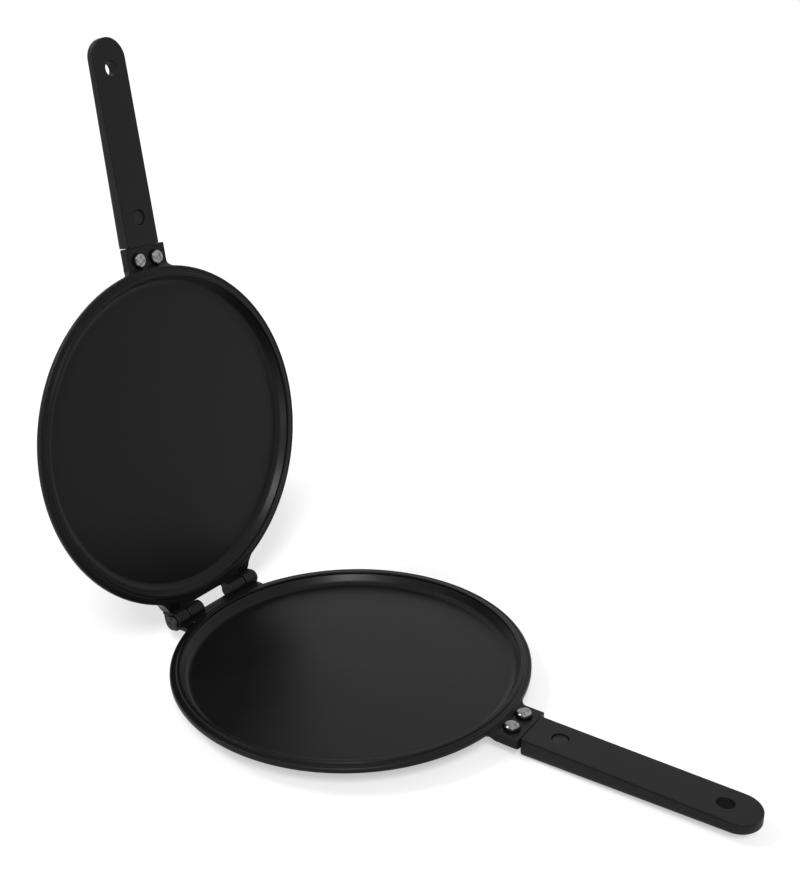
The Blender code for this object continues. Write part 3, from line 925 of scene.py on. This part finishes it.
    def bracket_height(self, x: float, y: float, share: float) -> float:
        """Place a point of the bracket's section between its underside and its top.

        Args:
            x: How far out from the pan's centre.
            y: How far to the side.
            share: 0 at the underside, 1 at the top.

        Returns:
            The height. Rounded edges keep their size, whatever the section's depth.
        """
        section, bottom = BarSection(), self.bracket_under(y)
        top = max(self.bracket_top(x, y), bottom + self.bracket_thinnest)
        edge, rounded = section.edge(top - bottom), 1 / section.side_parts
        if share < rounded:
            return bottom + edge * share / rounded
        if share > 1 - rounded:
            return top - edge * (1 - share) / rounded
        return bottom + edge + (top - bottom - 2 * edge) * (share - rounded) / (1 - 2 * rounded)

    def build(self, finishes: Finishes, hinge: "HingeArms") -> Item:
        """Build the pan and put it on its half.

        Args:
            finishes: The pan's finishes.
            hinge: The hinge arms of this half.

        Returns:
            The pan.
        """
        half = self.stand.half.value
        shell = turned("shell", self.inside() + self.outside(), self.steps)
        item = fused(f"{half}_pan_body", [shell, self.bracket(), *hinge.pieces()])
        return self.stand.seat(item, finishes.coating, Slot.COATING, [f"{half}_pan"])


@dataclass(frozen=True)
class HingeArms:
    """The two arms of a half with their barrels, and what stands round them.

    The lower half has arms, barrels and the land between them. The wide, upper pair adds webs that
    follow the lower barrels, and a cheek, a horn, a gusset and a stop heel at each of its barrels.
    """

    stand: HalfFrame
    start: float
    length: float
    barrel_radius: float
    flare: float = 0.0
    wide: bool = False
    rim_radius: float = 0.110
    root_radius: float = 0.1046
    edge: float = 0.0006
    bore_radius: float = 0.0027
    bore_cap: float = 0.0014
    bore_clear: float = 0.0004
    overlap: float = 0.0006
    lower_start: float = 0.0133
    lower_barrel: float = 0.0054
    swing_gap: float = 0.0003
    plate_top: float = -0.0002
    plate_bottom: float = -0.0034
    plate_edge: float = 0.0004
    plate_gap: float = 0.0003
    land_reach: float = 0.1147
    bar_reach: float = 0.1100
    web_drop: float = 0.0008
    cheek_root: float = 0.1005
    cheek_front: float = 0.1110
    cheek_back: float = 0.0073
    cheek_shelf: float = -0.0045
    horn_from: float = 48.0
    horn_to: float = 160.0
    horn_slim: float = 0.0016
    gusset: float = 0.0090
    gusset_inset: float = 0.0008
    gusset_hang: float = 0.0006
    gusset_share: float = 0.6
    heel_inset: float = 0.0009
    heel_gap: float = 0.0003
    heel_top: float = 0.0013
    heel_bottom: float = 0.0042
    steps: int = 56
    across_steps: int = 12
    arm_steps: int = 24
    heel_steps: int = 8
    horn_steps: int = 24

    @property
    def end(self) -> float:
        """Where the barrel ends, from the pan's middle."""
        return self.start + self.length

    def inner(self, y: float, radius: float) -> float:
        """Give the x on a circle about the pan's centre, on the hinge's side."""
        return -half_chord(radius, y)

    def across(self, name: str, span: tuple[float, float], outline: Outline) -> Item:
        """Skin outlines that stand side by side along the hinge line.

        Args:
            name: The piece's name.
            span: Where it starts and ends along y.
            outline: Gives the outline in x and z for a place along y.

        Returns:
            The piece.
        """
        places = spaced(*span, self.across_steps)
        return lofted(name, [[(x, y, z) for x, z in outline(y)] for y in places])

    def barrel(self, side: Side) -> Item:
        """Build one barrel with its bore, which is blind in a lower barrel.

        Args:
            side: The side it stands on.

        Returns:
            The barrel.
        """
        edge, radius, half = self.edge, self.barrel_radius, self.length / 2
        profile = [(self.bore_radius, half)]
        profile += arc((radius - edge, half - edge), edge, 90, 0, 3)
        profile += arc((radius - edge, edge - half), edge, 0, -90, 3)
        if self.wide:
            profile.append((self.bore_radius, -half))
        else:
            floor = self.bore_cap - half
            profile += [(0.0, -half), (0.0, floor), (self.bore_radius, floor)]
        profile = [(out, -up * side.value) for out, up in profile]
        item = turned("barrel", profile, self.steps, closed=True)
        place = self.stand.on_hinge(side.value * (self.start + half))
        item.matrix_basis = place @ Matrix.Rotation(math.pi / 2, 4, "X")
        return item

    def arm(self, side: Side) -> Item:
        """Build one arm from the rim to its barrel.

        Args:
            side: The side it stands on.

        Returns:
            The arm.
        """
        bottom = self.stand.parting_rise - self.barrel_radius
        section = BarSection(corner=self.edge, top_steps=2)
        rings: list[Ring] = []
        rim_x = half_chord(self.rim_radius, self.end)
        tip = self.stand.hinge_offset - self.bore_radius - self.bore_clear
        root = half_chord(self.root_radius, self.start)
        for x in spaced(root, tip, self.arm_steps):
            share = clamped((rim_x + self.flare / 2 - x) / max(self.flare, TINY))
            low, high = side.span(self.start, self.end + self.flare * (1 - half_chord(1.0, share)))
            rings.append(section.ring(-x, low, high, bottom, self.plate_top))
        return lofted("arm", rings)

    def heel(self, side: Side) -> Item:
        """Build the heel that meets the lower rim when the pan is open.

        Args:
            side: The side it stands on.

        Returns:
            The heel, drawn in the upper half's frame.
        """
        lower = HalfFrame(HalfName.LOWER)
        span = side.span(self.start + self.heel_inset, self.end - self.heel_inset)
        height = lower.flange_height + lower.parting_rise
        top, bottom, back = height - self.heel_top, height - self.heel_bottom, -lower.hinge_offset
        rings: list[Ring] = []
        for y in spaced(*span, self.heel_steps):
            reach = self.inner(y, self.rim_radius + self.heel_gap)
            corners = ((back, top), (reach, top), (reach, bottom), (back, bottom))
            rings.append([(x, y, z) for x, z in corners])
        item = lofted("heel", rings)
        item.data.transform(self.stand.matrix.inverted())
        return item

    def window_plate(self) -> Item:
        """Build the straight-edged plate between the two arms, which frames the window."""
        over = self.lower_start + self.overlap
        return self.across("window_plate", (-over, over), self.plate_outline)

    def plate_outline(self, y: float) -> list[Point2]:
        """Draw the window plate's section.

        Args:
            y: Where it stands along the hinge.

        Returns:
            Its outline in x and z.
        """
        back, soft = self.inner(y, self.root_radius), self.plate_edge
        edge = self.bar_reach if self.wide else self.land_reach
        points = [(back, self.plate_bottom), (back, self.plate_top)]
        points += arc((soft - edge, self.plate_top - soft), soft, 90, 180, 3)
        points += arc((soft - edge, self.plate_bottom + soft), soft, 180, 270, 3)
        return points

    def web(self, side: Side) -> Item:
        """Build the web that follows a lower barrel, between the window and the wide arm."""
        span = side.span(self.lower_start, self.start + self.overlap)
        return self.across("web", span, self.web_outline)

    def web_outline(self, y: float) -> list[Point2]:
        """Draw the web's section, hollowed to clear the lower barrel.

        Args:
            y: Where it stands along the hinge.

        Returns:
            Its outline in x and z.
        """
        rise, radius = self.stand.parting_rise, self.lower_barrel + self.swing_gap
        back, low = self.inner(y, self.root_radius), self.plate_bottom - self.web_drop
        first = math.degrees(math.asin((self.plate_top - rise) / radius))
        last = math.degrees(math.asin((low - rise) / radius))
        hollow = arc((-self.stand.hinge_offset, rise), radius, first, last, 8)
        return [(back, low), (back, self.plate_top), *hollow]

    def cheek(self, side: Side) -> Item:
        """Build the deep cheek between the rim and an upper barrel."""
        span = side.span(self.start + self.plate_gap, self.end - self.plate_gap)
        return self.across("cheek", span, self.cheek_outline)

    def shelf(self, y: float) -> list[Point2]:
        """Draw the inner corners that cheek and gusset share, under the shell's shoulder.

        Args:
            y: Where they stand along the hinge.

        Returns:
            The corners in x and z.
        """
        front, back = self.inner(y, self.root_radius), self.inner(y, self.cheek_root)
        return [(back, -self.cheek_back), (front, self.cheek_shelf), (front, self.plate_top)]

    def cheek_outline(self, y: float) -> list[Point2]:
        """Draw the cheek's section in x and z, for a place along the hinge."""
        front = -self.cheek_front
        return [*self.shelf(y), (front, self.plate_top), (front, -self.cheek_back)]

    def horn(self, side: Side) -> Item:
        """Build the curved end of a cheek, which wraps the back of its barrel.

        Args:
            side: The side it stands on.

        Returns:
            The horn.
        """
        near, far = self.start + self.plate_gap, self.end - self.plate_gap
        inside, soft = (self.bore_radius + self.barrel_radius) / 2, self.edge
        axis_x, axis_z = -self.stand.hinge_offset, self.stand.parting_rise
        depth = self.cheek_back + axis_z
        rings: list[Ring] = []
        for turn in spaced(self.horn_from, self.horn_to, self.horn_steps):
            reach = depth / math.sin(math.radians(min(turn, 90.0)))
            reach -= self.horn_slim * (max(0.0, turn - 90.0) / (self.horn_to - 90.0)) ** 2
            section = [(inside, near), (inside, far), (reach - soft, far), (reach, far - soft)]
            section += [(reach, near + soft), (reach - soft, near)]
            x, z = math.cos(math.radians(-turn)), math.sin(math.radians(-turn))
            ring = [(axis_x + out * x, side.value * y, axis_z + out * z) for out, y in section]
            rings.append(ring)
        return lofted("horn", rings)

    def gusset_block(self, side: Side) -> Item:
        """Build the hollow gusset between a cheek's outer face and the rim."""
        span = side.span(self.end - self.gusset_inset, self.end + self.gusset)
        return self.across("gusset", span, self.gusset_outline)

    def gusset_outline(self, y: float) -> list[Point2]:
        """Draw the gusset's section, which shrinks into the rim away from the cheek.

        Args:
            y: Where it stands along the hinge.

        Returns:
            Its outline in x and z.
        """
        share = clamped((self.end + self.gusset - abs(y)) / self.gusset)
        rim = self.inner(y, self.rim_radius - self.gusset_inset)
        furthest = -half_chord(self.rim_radius, self.end) - self.gusset_share * self.gusset
        out = max(rim - self.gusset * (1 - half_chord(1.0, share)), furthest)
        deep = -self.cheek_back - self.gusset_hang * share
        return [*self.shelf(y), (out, self.plate_top), (out, deep)]

    def pieces(self) -> list[Item]:
        """Build everything that this half's hinge needs.

        Returns:
            The plate, then each side's pieces.
        """
        makers = [self.barrel, self.arm]
        if self.wide:
            makers += [self.heel, self.web, self.cheek, self.horn, self.gusset_block]
        return [self.window_plate()] + [maker(side) for side in Side for maker in makers]


# ---------------------------------------------------------------- handle


@dataclass(frozen=True)
class HalfHandle:
    """The moulded half handle: flat face, D-shaped back, hanging hole and pin recess."""

    stand: HalfFrame
    drop: float = 0.0030
    start: float = 0.1242
    tip: float = 0.2505
    width: float = 0.0246
    depth_root: float = 0.0122
    depth_tip: float = 0.00755
    root_round: float = 0.0002
    tip_depth_share: float = 0.66
    tip_turn_share: float = 0.94
    face_shares: tuple[float, ...] = (0.0, 0.3, 0.6, 0.8)
    face_edge: float = 0.0003
    groove_at: float = 0.0004
    groove_height: float = 0.0008
    groove_depth: float = 0.0005
    groove_lip: float = 0.0004
    groove_lip_shares: Point2 = (0.3, 0.2)
    back_power: float = 6.0
    hole_from_tip: float = 0.0185
    hole_radius: float = 0.0045
    hole_ease: float = 0.0006
    recess_at: float = 0.1418
    recess_radius: float = 0.0048
    recess_depth: float = 0.0025
    recess_ease: float = 0.0004
    overrun: float = 0.002
    back_steps: int = 20
    root_steps: int = 5
    taper_steps: int = 30
    tip_steps: int = 24

    def depth(self, x: float) -> float:
        """Give the depth behind the face, for a distance from the pan's centre."""
        share = (x - self.start) / (self.tip - self.start)
        return self.depth_root + (self.depth_tip - self.depth_root) * share

    def ring(self, x: float, half: float, depth: float) -> Ring:
        """Give one section of the handle.

        Args:
            x: How far out from the pan's centre.
            half: Half its width.
            depth: Its depth behind the face.

        Returns:
            The ring's points.
        """
        scale = min(1.0, half / (self.width / 4))
        edge, nick, lip = self.face_edge * scale, self.groove_depth * scale, self.groove_lip * scale
        top, low = self.groove_at, self.groove_at + self.groove_height
        lip_out, lip_down = (lip * share for share in self.groove_lip_shares)
        side: list[Point2] = [(half * share, 0.0) for share in self.face_shares]
        side += [(half - edge + out, down - edge) for out, down in arc((0.0, 0.0), edge, 90, 0, 4)]
        side += [(half, -top), (half - nick, -top - nick / 2), (half - nick, nick / 2 - low)]
        side += [(half - lip, -low), (half - lip_out, -low - lip_down), (half, -low - lip)]
        power = 2 / self.back_power
        for angle in spaced(0.0, math.pi / 2, self.back_steps)[1:]:
            out, down = math.cos(angle) ** power, math.sin(angle) ** power
            side.append((half * out, -low - (depth - low) * down))
        side[-1] = (0.0, -depth)
        other = [(-y, z) for y, z in reversed(side[1:-1])]
        return [(x, y, z - self.drop) for y, z in side + other]

    def rings(self) -> list[Ring]:
        """Give the sections from the eased root along the taper to the round tip.

        Returns:
            The sections in order.
        """
        half, ease = self.width / 2, self.root_round
        centre = self.tip - half
        rings: list[Ring] = []
        for angle in spaced(0.0, math.pi / 2, self.root_steps):
            x = self.start + ease * (1 - math.cos(angle))
            inset = ease * (1 - math.sin(angle))
            rings.append(self.ring(x, half - inset / 2, self.depth(x) - inset))
        for step in range(1, self.taper_steps + 1):
            x = self.start + ease + (centre - self.start - ease) * step / self.taper_steps
            rings.append(self.ring(x, half, self.depth(x)))
        for step in range(1, self.tip_steps + 1):
            angle = math.pi / 2 * min(step / self.tip_steps, self.tip_turn_share)
            x = centre + half * math.sin(angle)
            slim = self.tip_depth_share + (1 - self.tip_depth_share) * math.cos(angle)
            rings.append(self.ring(x, half * math.cos(angle), self.depth(x) * slim))
        return rings

    def mouth(self, radius: float, ease: float) -> list[Point2]:
        """Start the profile of a cutting solid, from above the face to its eased mouth.

        Args:
            radius: The bore's radius.
            ease: How far its mouth is rounded.

        Returns:
            The profile so far.
        """
        top, wide = -self.drop, radius + ease
        profile: list[Point2] = [(0.0, top + self.overrun), (wide, top + self.overrun)]
        return profile + arc((wide, top - ease), ease, 90, 180, 4)

    def hole_tool(self) -> Item:
        """Build the solid that cuts the hanging hole, eased at both mouths.

        Returns:
            The solid.
        """
        x, ease = self.tip - self.hole_from_tip, self.hole_ease
        low, wide = -self.drop - self.depth(x), self.hole_radius + ease
        profile = self.mouth(self.hole_radius, ease)
        profile += arc((wide, low + ease), ease, 180, 270, 4)
        profile += [(wide, low - self.overrun), (0.0, low - self.overrun)]
        tool = turned("hole_tool", profile, FINE_TURN)
        tool.matrix_basis = Matrix.Translation((x, 0.0, 0.0))
        return tool

    def recess_tool(self) -> Item:
        """Build the solid that cuts the pin's recess.

        Returns:
            The solid.
        """
        low = -self.drop - self.recess_depth
        profile = self.mouth(self.recess_radius, self.recess_ease)
        profile += [(self.recess_radius, low), (0.0, low)]
        tool = turned("recess_tool", profile, FINE_TURN)
        tool.matrix_basis = Matrix.Translation((self.recess_at, 0.0, 0.0))
        return tool

    def build(self, finishes: Finishes) -> Item:
        """Build the handle and put it on its half.

        Args:
            finishes: The pan's finishes.

        Returns:
            The handle.
        """
        half = self.stand.half.value
        item = lofted(f"{half}_half_handle", self.rings())
        cut(item, [self.hole_tool(), self.recess_tool()])
        return self.stand.seat(item, finishes.phenolic, Slot.PHENOLIC, [f"{half}_handle"])


# ---------------------------------------------------------------- steel pieces


@dataclass(frozen=True)
class Strap:
    """The flat steel strap under the bracket, which runs into the handle."""

    stand: HalfFrame
    top: float = -0.0084
    thickness: float = 0.0025
    edge: float = 0.0004
    head_start: float = 0.1096
    head_end: float = 0.1228
    head_half: float = 0.0128
    head_corner: float = 0.0022
    corner_steps: int = 6
    neck_half: float = 0.0085
    neck_step: float = 0.0001
    end: float = 0.1285

    def build(self, finishes: Finishes) -> Item:
        """Build the strap and put it on its half.

        Args:
            finishes: The pan's finishes.

        Returns:
            The strap.
        """
        section = BarSection(corner=self.edge, top_steps=2)
        corner = self.head_corner
        rings: list[Ring] = []
        turns = spaced(0.0, math.pi / 2, self.corner_steps)
        stations = [self.head_start + corner * (1 - math.cos(turn)) for turn in turns]
        stations += [self.head_end - corner * (1 - math.sin(turn)) for turn in turns]
        stations += [self.head_end + self.neck_step, self.end]
        for x in stations:
            half = self.head_half
            for inset in (self.head_start + corner - x, x - self.head_end + corner):
                if 0 < inset <= corner:
                    half -= corner - half_chord(corner, inset)
            if x > self.head_end:
                half = self.neck_half
            rings.append(section.ring(x, -half, half, self.top - self.thickness, self.top))
        name = self.stand.half.value
        item = lofted(f"{name}_steel_strap", rings)
        return self.stand.seat(item, finishes.strap, Slot.STRAP, [f"{name}_handle_strap"])


@dataclass(frozen=True)
class Rivet:
    """A domed rivet with its formed tail."""

    stand: HalfFrame
    side: Side
    radius_at: float = 0.1158
    spacing: float = 0.0140
    seat_height: float = -0.0023
    head_radius: float = 0.0049
    head_height: float = 0.0032
    skirt_share: float = 0.1
    shank_radius: float = 0.0024
    tail_top: float = -0.0112
    tail_radius: float = 0.0041
    tail_height: float = 0.0014
    crown_radius: float = 0.0043
    crown_blend: float = 0.0003
    dome_steps: int = 24
    tail_steps: int = 8

    def crown(self, item: Item) -> None:
        """Mark the bare crown of the head for the rivet's finish.

        Args:
            item: The rivet, still drawn about its own axis.
        """
        mask = item.data.attributes.new(RivetSteel.mask, "FLOAT", "POINT")
        for vertex in item.data.vertices:
            radius = math.hypot(vertex.co.x, vertex.co.y)
            share = clamped((self.crown_radius - radius) / self.crown_blend)
            mask.data[vertex.index].value = share if vertex.co.z > self.seat_height else 0.0

    def build(self, finishes: Finishes) -> Item:
        """Build the rivet and put it on its half.

        Args:
            finishes: The pan's finishes.

        Returns:
            The rivet.
        """
        seat, head, tail = self.seat_height, self.head_radius, self.tail_radius
        skirt = self.head_height * self.skirt_share
        profile: list[Point2] = []
        for turn in spaced(90.0, 0.0, self.dome_steps):
            angle = math.radians(turn)
            rise = (self.head_height - skirt) * math.sin(angle)
            profile.append((head * math.cos(angle), seat + skirt + rise))
        profile += [(head, seat), (self.shank_radius, seat), (self.shank_radius, self.tail_top)]
        for turn in spaced(0.0, -90.0, self.tail_steps):
            angle = math.radians(turn)
            drop = self.tail_height * math.sin(angle)
            profile.append((tail * math.cos(angle), self.tail_top + drop))
        name = f"{self.stand.half.value}_rivet_{self.side.word}"
        item = turned(f"{name}_polished", profile, FINE_TURN)
        self.crown(item)
        spot = (self.radius_at, self.side.value * self.spacing / 2, 0.0)
        item.matrix_basis = Matrix.Translation(spot)
        return self.stand.seat(item, finishes.polished, Slot.POLISHED, [name])


@dataclass(frozen=True)
class HandlePin:
    """The flat-headed pin at the bottom of the handle's recess."""

    stand: HalfFrame
    x: float = 0.1418
    top: float = -0.0040
    head_radius: float = 0.0045
    head_height: float = 0.0012
    face_share: float = 0.5
    edge: float = 0.0003

    def build(self, finishes: Finishes) -> Item:
        """Build the pin's head and put it on its half.

        Args:
            finishes: The pan's finishes.

        Returns:
            The pin.
        """
        head, edge, low = self.head_radius, self.edge, self.top - self.head_height
        profile: list[Point2] = [(0.0, self.top), (head * self.face_share, self.top)]
        profile += arc((head - edge, self.top - edge), edge, 90, 0, 3)
        profile += [(head, low), (0.0, low)]
        name = f"{self.stand.half.value}_handle_pin"
        item = turned(f"{name}_head", profile, SMALL_TURN)
        item.matrix_basis = Matrix.Translation((self.x, 0.0, 0.0))
        return self.stand.seat(item, finishes.strap, Slot.STRAP, [name])


@dataclass(frozen=True)
class HingePin:
    """A hinge pin with a stepped, dimpled head."""

    stand: HalfFrame
    side: Side
    under_head: float = 0.0378
    inner_end: float = 0.0168
    radius: float = 0.0024
    head_radius: float = 0.0048
    head_height: float = 0.0021
    step: float = 0.0004
    ring_radius: float = 0.0036
    dimple_radius: float = 0.0019
    dimple_depth: float = 0.0010
    dimple_shares: Point2 = (0.6, 0.8)

    def build(self, finishes: Finishes) -> Item:
        """Build the pin and put it on its half.

        Args:
            finishes: The pan's finishes.

        Returns:
            The pin.
        """
        top, ring = self.under_head + self.head_height, self.step
        out, down = self.dimple_shares
        profile: list[Point2] = [(0.0, top - self.dimple_depth)]
        profile += [(self.dimple_radius * out, top - self.dimple_depth * down)]
        profile += arc((self.dimple_radius + ring / 2, top - ring / 2), ring / 2, 180, 90, 3)
        profile += arc((self.ring_radius - ring / 2, top - ring / 2), ring / 2, 90, 0, 3)
        profile += arc((self.ring_radius + ring / 2, top - ring), ring / 4, 180, 270, 2)
        profile += arc((self.head_radius - ring, top - ring * 2), ring, 90, 0, 4)
        profile += [(self.head_radius, self.under_head), (self.radius, self.under_head)]
        profile += [(self.radius, self.inner_end), (0.0, self.inner_end)]
        name = f"hinge_pin_{self.side.word}"
        item = turned(f"{name}_headed", profile, SMALL_TURN)
        item.matrix_basis = self.stand.on_hinge() @ self.side.quarter_turn
        return self.stand.seat(item, finishes.pin, Slot.PIN, [name])


@dataclass(frozen=True)
class ThrustWasher:
    """The washer between a lower and an upper barrel."""

    stand: HalfFrame
    side: Side
    low: float = 0.0263
    thickness: float = 0.0010
    inner: float = 0.0027
    outer: float = 0.0047
    edge: float = 0.0002

    def build(self, finishes: Finishes) -> Item:
        """Build the washer and put it on its half.

        Args:
            finishes: The pan's finishes.

        Returns:
            The washer.
        """
        high, edge = self.low + self.thickness, self.edge
        profile: list[Point2] = [(self.inner, high)]
        profile += arc((self.outer - edge, high - edge), edge, 90, 0, 3)
        profile += arc((self.outer - edge, self.low + edge), edge, 0, -90, 3)
        profile.append((self.inner, self.low))
        name = f"hinge_washer_{self.side.word}"
        item = turned(f"{name}_turned", profile, SMALL_TURN, closed=True)
        item.matrix_basis = self.stand.on_hinge() @ self.side.quarter_turn
        return self.stand.seat(item, finishes.pin, Slot.PIN, [name])


# ---------------------------------------------------------------- studio


@dataclass(frozen=True)
class Lamp:
    """One broad, far lamp: its direction from the pan, its strength and its width in degrees."""

    name: str
    towards: Point3
    power: float
    width: float

    def hang(self) -> Item:
        """Hang the lamp.

        Returns:
            The lamp.
        """
        light = bpy.data.lights.new(self.name, "SUN")
        light.energy = self.power
        light.angle = math.radians(self.width)
        item = bpy.data.objects.new(self.name, light)
        item.rotation_euler = Vector(self.towards).to_track_quat("Z", "Y").to_euler()
        bpy.context.scene.collection.objects.link(item)
        return item


@dataclass(frozen=True)
class Studio:
    """Plain pale floor, white surround, three broad lamps and the photograph's camera."""

    azimuth: float = 36.136
    elevation: float = 18.024
    roll: float = -0.959
    focal_pixels: float = 1088.2
    camera_at: Point3 = (0.3564, -0.4634, 0.3804)
    shift: Point2 = (0.0374, -0.0691)
    sensor: float = 36.0
    nearest: float = 0.01
    floor_reach: float = 40.0
    floor_drop: float = 0.0003
    floor_colour: Colour = (0.55, 0.55, 0.55)
    floor_tint: float = 0.99
    floor_scale: float = 3.0
    floor_roughness: float = 0.9
    floor_glow: float = 0.47
    surround: float = 0.42
    lamps: tuple[Lamp, ...] = (
        Lamp("key_lamp", (0.39, -0.53, 0.75), 2.2, 20.0),
        Lamp("low_lamp", (0.42, -0.90, 0.08), 0.8, 24.0),
        Lamp("left_lamp", (-0.56, -0.31, 0.77), 0.8, 16.0),
    )

    def camera(self) -> Item:
        """Set up the camera at the photograph's angle.

        Returns:
            The camera.
        """
        a, e, r = (math.radians(value) for value in (self.azimuth, self.elevation, self.roll))
        back = Vector((math.sin(a) * math.cos(e), -math.cos(a) * math.cos(e), math.sin(e)))
        level = Vector((math.cos(a), math.sin(a), 0.0))
        above = back.cross(level)
        right = level * math.cos(r) + above * math.sin(r)
        up = back.cross(right)
        lens = bpy.data.cameras.new("photo_camera")
        lens.sensor_fit = "HORIZONTAL"
        lens.sensor_width = self.sensor
        lens.lens = self.sensor * self.focal_pixels / PICTURE_WIDTH
        lens.clip_end = 4 * self.floor_reach
        lens.clip_start = self.nearest
        lens.shift_x, lens.shift_y = self.shift
        item = bpy.data.objects.new("photo_camera", lens)
        turn = Matrix((right, up, back)).transposed().to_4x4()
        item.matrix_world = Matrix.Translation(self.camera_at) @ turn
        bpy.context.scene.collection.objects.link(item)
        bpy.context.scene.camera = item
        return item

    def seen(self, tree: bpy.types.NodeTree) -> Socket:
        """Give 1 for rays that show the background, 0 for the rest.

        Args:
            tree: The tree the nodes go in.

        Returns:
            The value.
        """
        path = tree.nodes.new("ShaderNodeLightPath")
        total: Socket = path.outputs["Is Camera Ray"]
        for word in ("Is Glossy Ray", "Is Transmission Ray"):
            step = tree.nodes.new("ShaderNodeMath")
            step.operation = "MAXIMUM"
            tree.links.new(total, step.inputs[0])
            tree.links.new(path.outputs[word], step.inputs[1])
            total = step.outputs[0]
        return total

    def world(self) -> bpy.types.World:
        """Set up the white surround, plain for the camera and softer as a light.

        Returns:
            The world.
        """
        world = bpy.data.worlds.new("studio_surround")
        world.use_nodes = True
        tree = world.node_tree
        background = tree.nodes["Background"]
        background.inputs["Color"].default_value = (1.0, 1.0, 1.0, 1.0)
        level = tree.nodes.new("ShaderNodeMapRange")
        level.inputs["To Min"].default_value = self.surround
        level.inputs["To Max"].default_value = 1.0
        tree.links.new(self.seen(tree), level.inputs["Value"])
        tree.links.new(level.outputs["Result"], background.inputs["Strength"])
        bpy.context.scene.world = world
        return world

    def floor(self) -> Item:
        """Lay the pale floor, which keeps the pan's shadow.

        Returns:
            The floor.
        """
        far = self.floor_reach
        mesh = bpy.data.meshes.new("studio_floor")
        corners = [(-far, -far, 0.0), (far, -far, 0.0), (far, far, 0.0), (-far, far, 0.0)]
        mesh.from_pydata(corners, [], [(0, 1, 2, 3)])
        item = bpy.data.objects.new("studio_floor", mesh)
        item.location.z = -self.floor_drop
        graph = Graph.fresh("pale_floor")
        shader = graph.shader
        tint = graph.noise(graph.place(), self.floor_scale)
        low = tuple(value * self.floor_tint for value in self.floor_colour)
        graph.feed(graph.ramp(tint, low, self.floor_colour), "Base Color")
        shader.inputs["Roughness"].default_value = self.floor_roughness
        shader.inputs["Specular IOR Level"].default_value = 0.0
        shader.inputs["Emission Color"].default_value = (1.0, 1.0, 1.0, 1.0)
        seen = self.seen(graph.material.node_tree)
        graph.feed(graph.spread(seen, 0.0, self.floor_glow, 0.0, 1.0), "Emission Strength")
        mesh.materials.append(graph.material)
        bpy.context.scene.collection.objects.link(item)
        return item

    def build(self) -> None:
        """Set up everything round the pan."""
        self.camera()
        self.world()
        self.floor()
        for lamp in self.lamps:
            lamp.hang()
        bpy.context.scene.view_settings.view_transform = "Standard"
        LOG.info("studio ready")


# ---------------------------------------------------------------- the whole pan


@dataclass
class PanHalf:
    """One half of the pan with everything fixed to it."""

    stand: HalfFrame
    hinge: HingeArms

    def build(self, finishes: Finishes) -> None:
        """Build this half's pieces in order.

        Args:
            finishes: The pan's finishes.
        """
        PanBody(self.stand).build(finishes, self.hinge)
        HalfHandle(self.stand).build(finishes)
        Strap(self.stand).build(finishes)
        HandlePin(self.stand).build(finishes)
        for side in Side:
            Rivet(self.stand, side).build(finishes)


def main() -> None:
    """Build the studio and the whole pan, and report each piece."""
    logging.basicConfig(level=logging.INFO, format="%(name)s: %(message)s")
    finishes = Finishes()
    lower, upper = HalfFrame(HalfName.LOWER), HalfFrame(HalfName.UPPER)
    narrow = HingeArms(lower, start=0.0133, length=0.0127, barrel_radius=0.0054)
    wide = HingeArms(
        upper, start=0.0276, length=0.0099, barrel_radius=0.0062, flare=0.0060, wide=True
    )
    PanHalf(lower, narrow).build(finishes)
    PanHalf(upper, wide).build(finishes)
    for side in Side:
        HingePin(lower, side).build(finishes)
        ThrustWasher(lower, side).build(finishes)
    Studio().build()


if __name__ == "__main__":
    main()
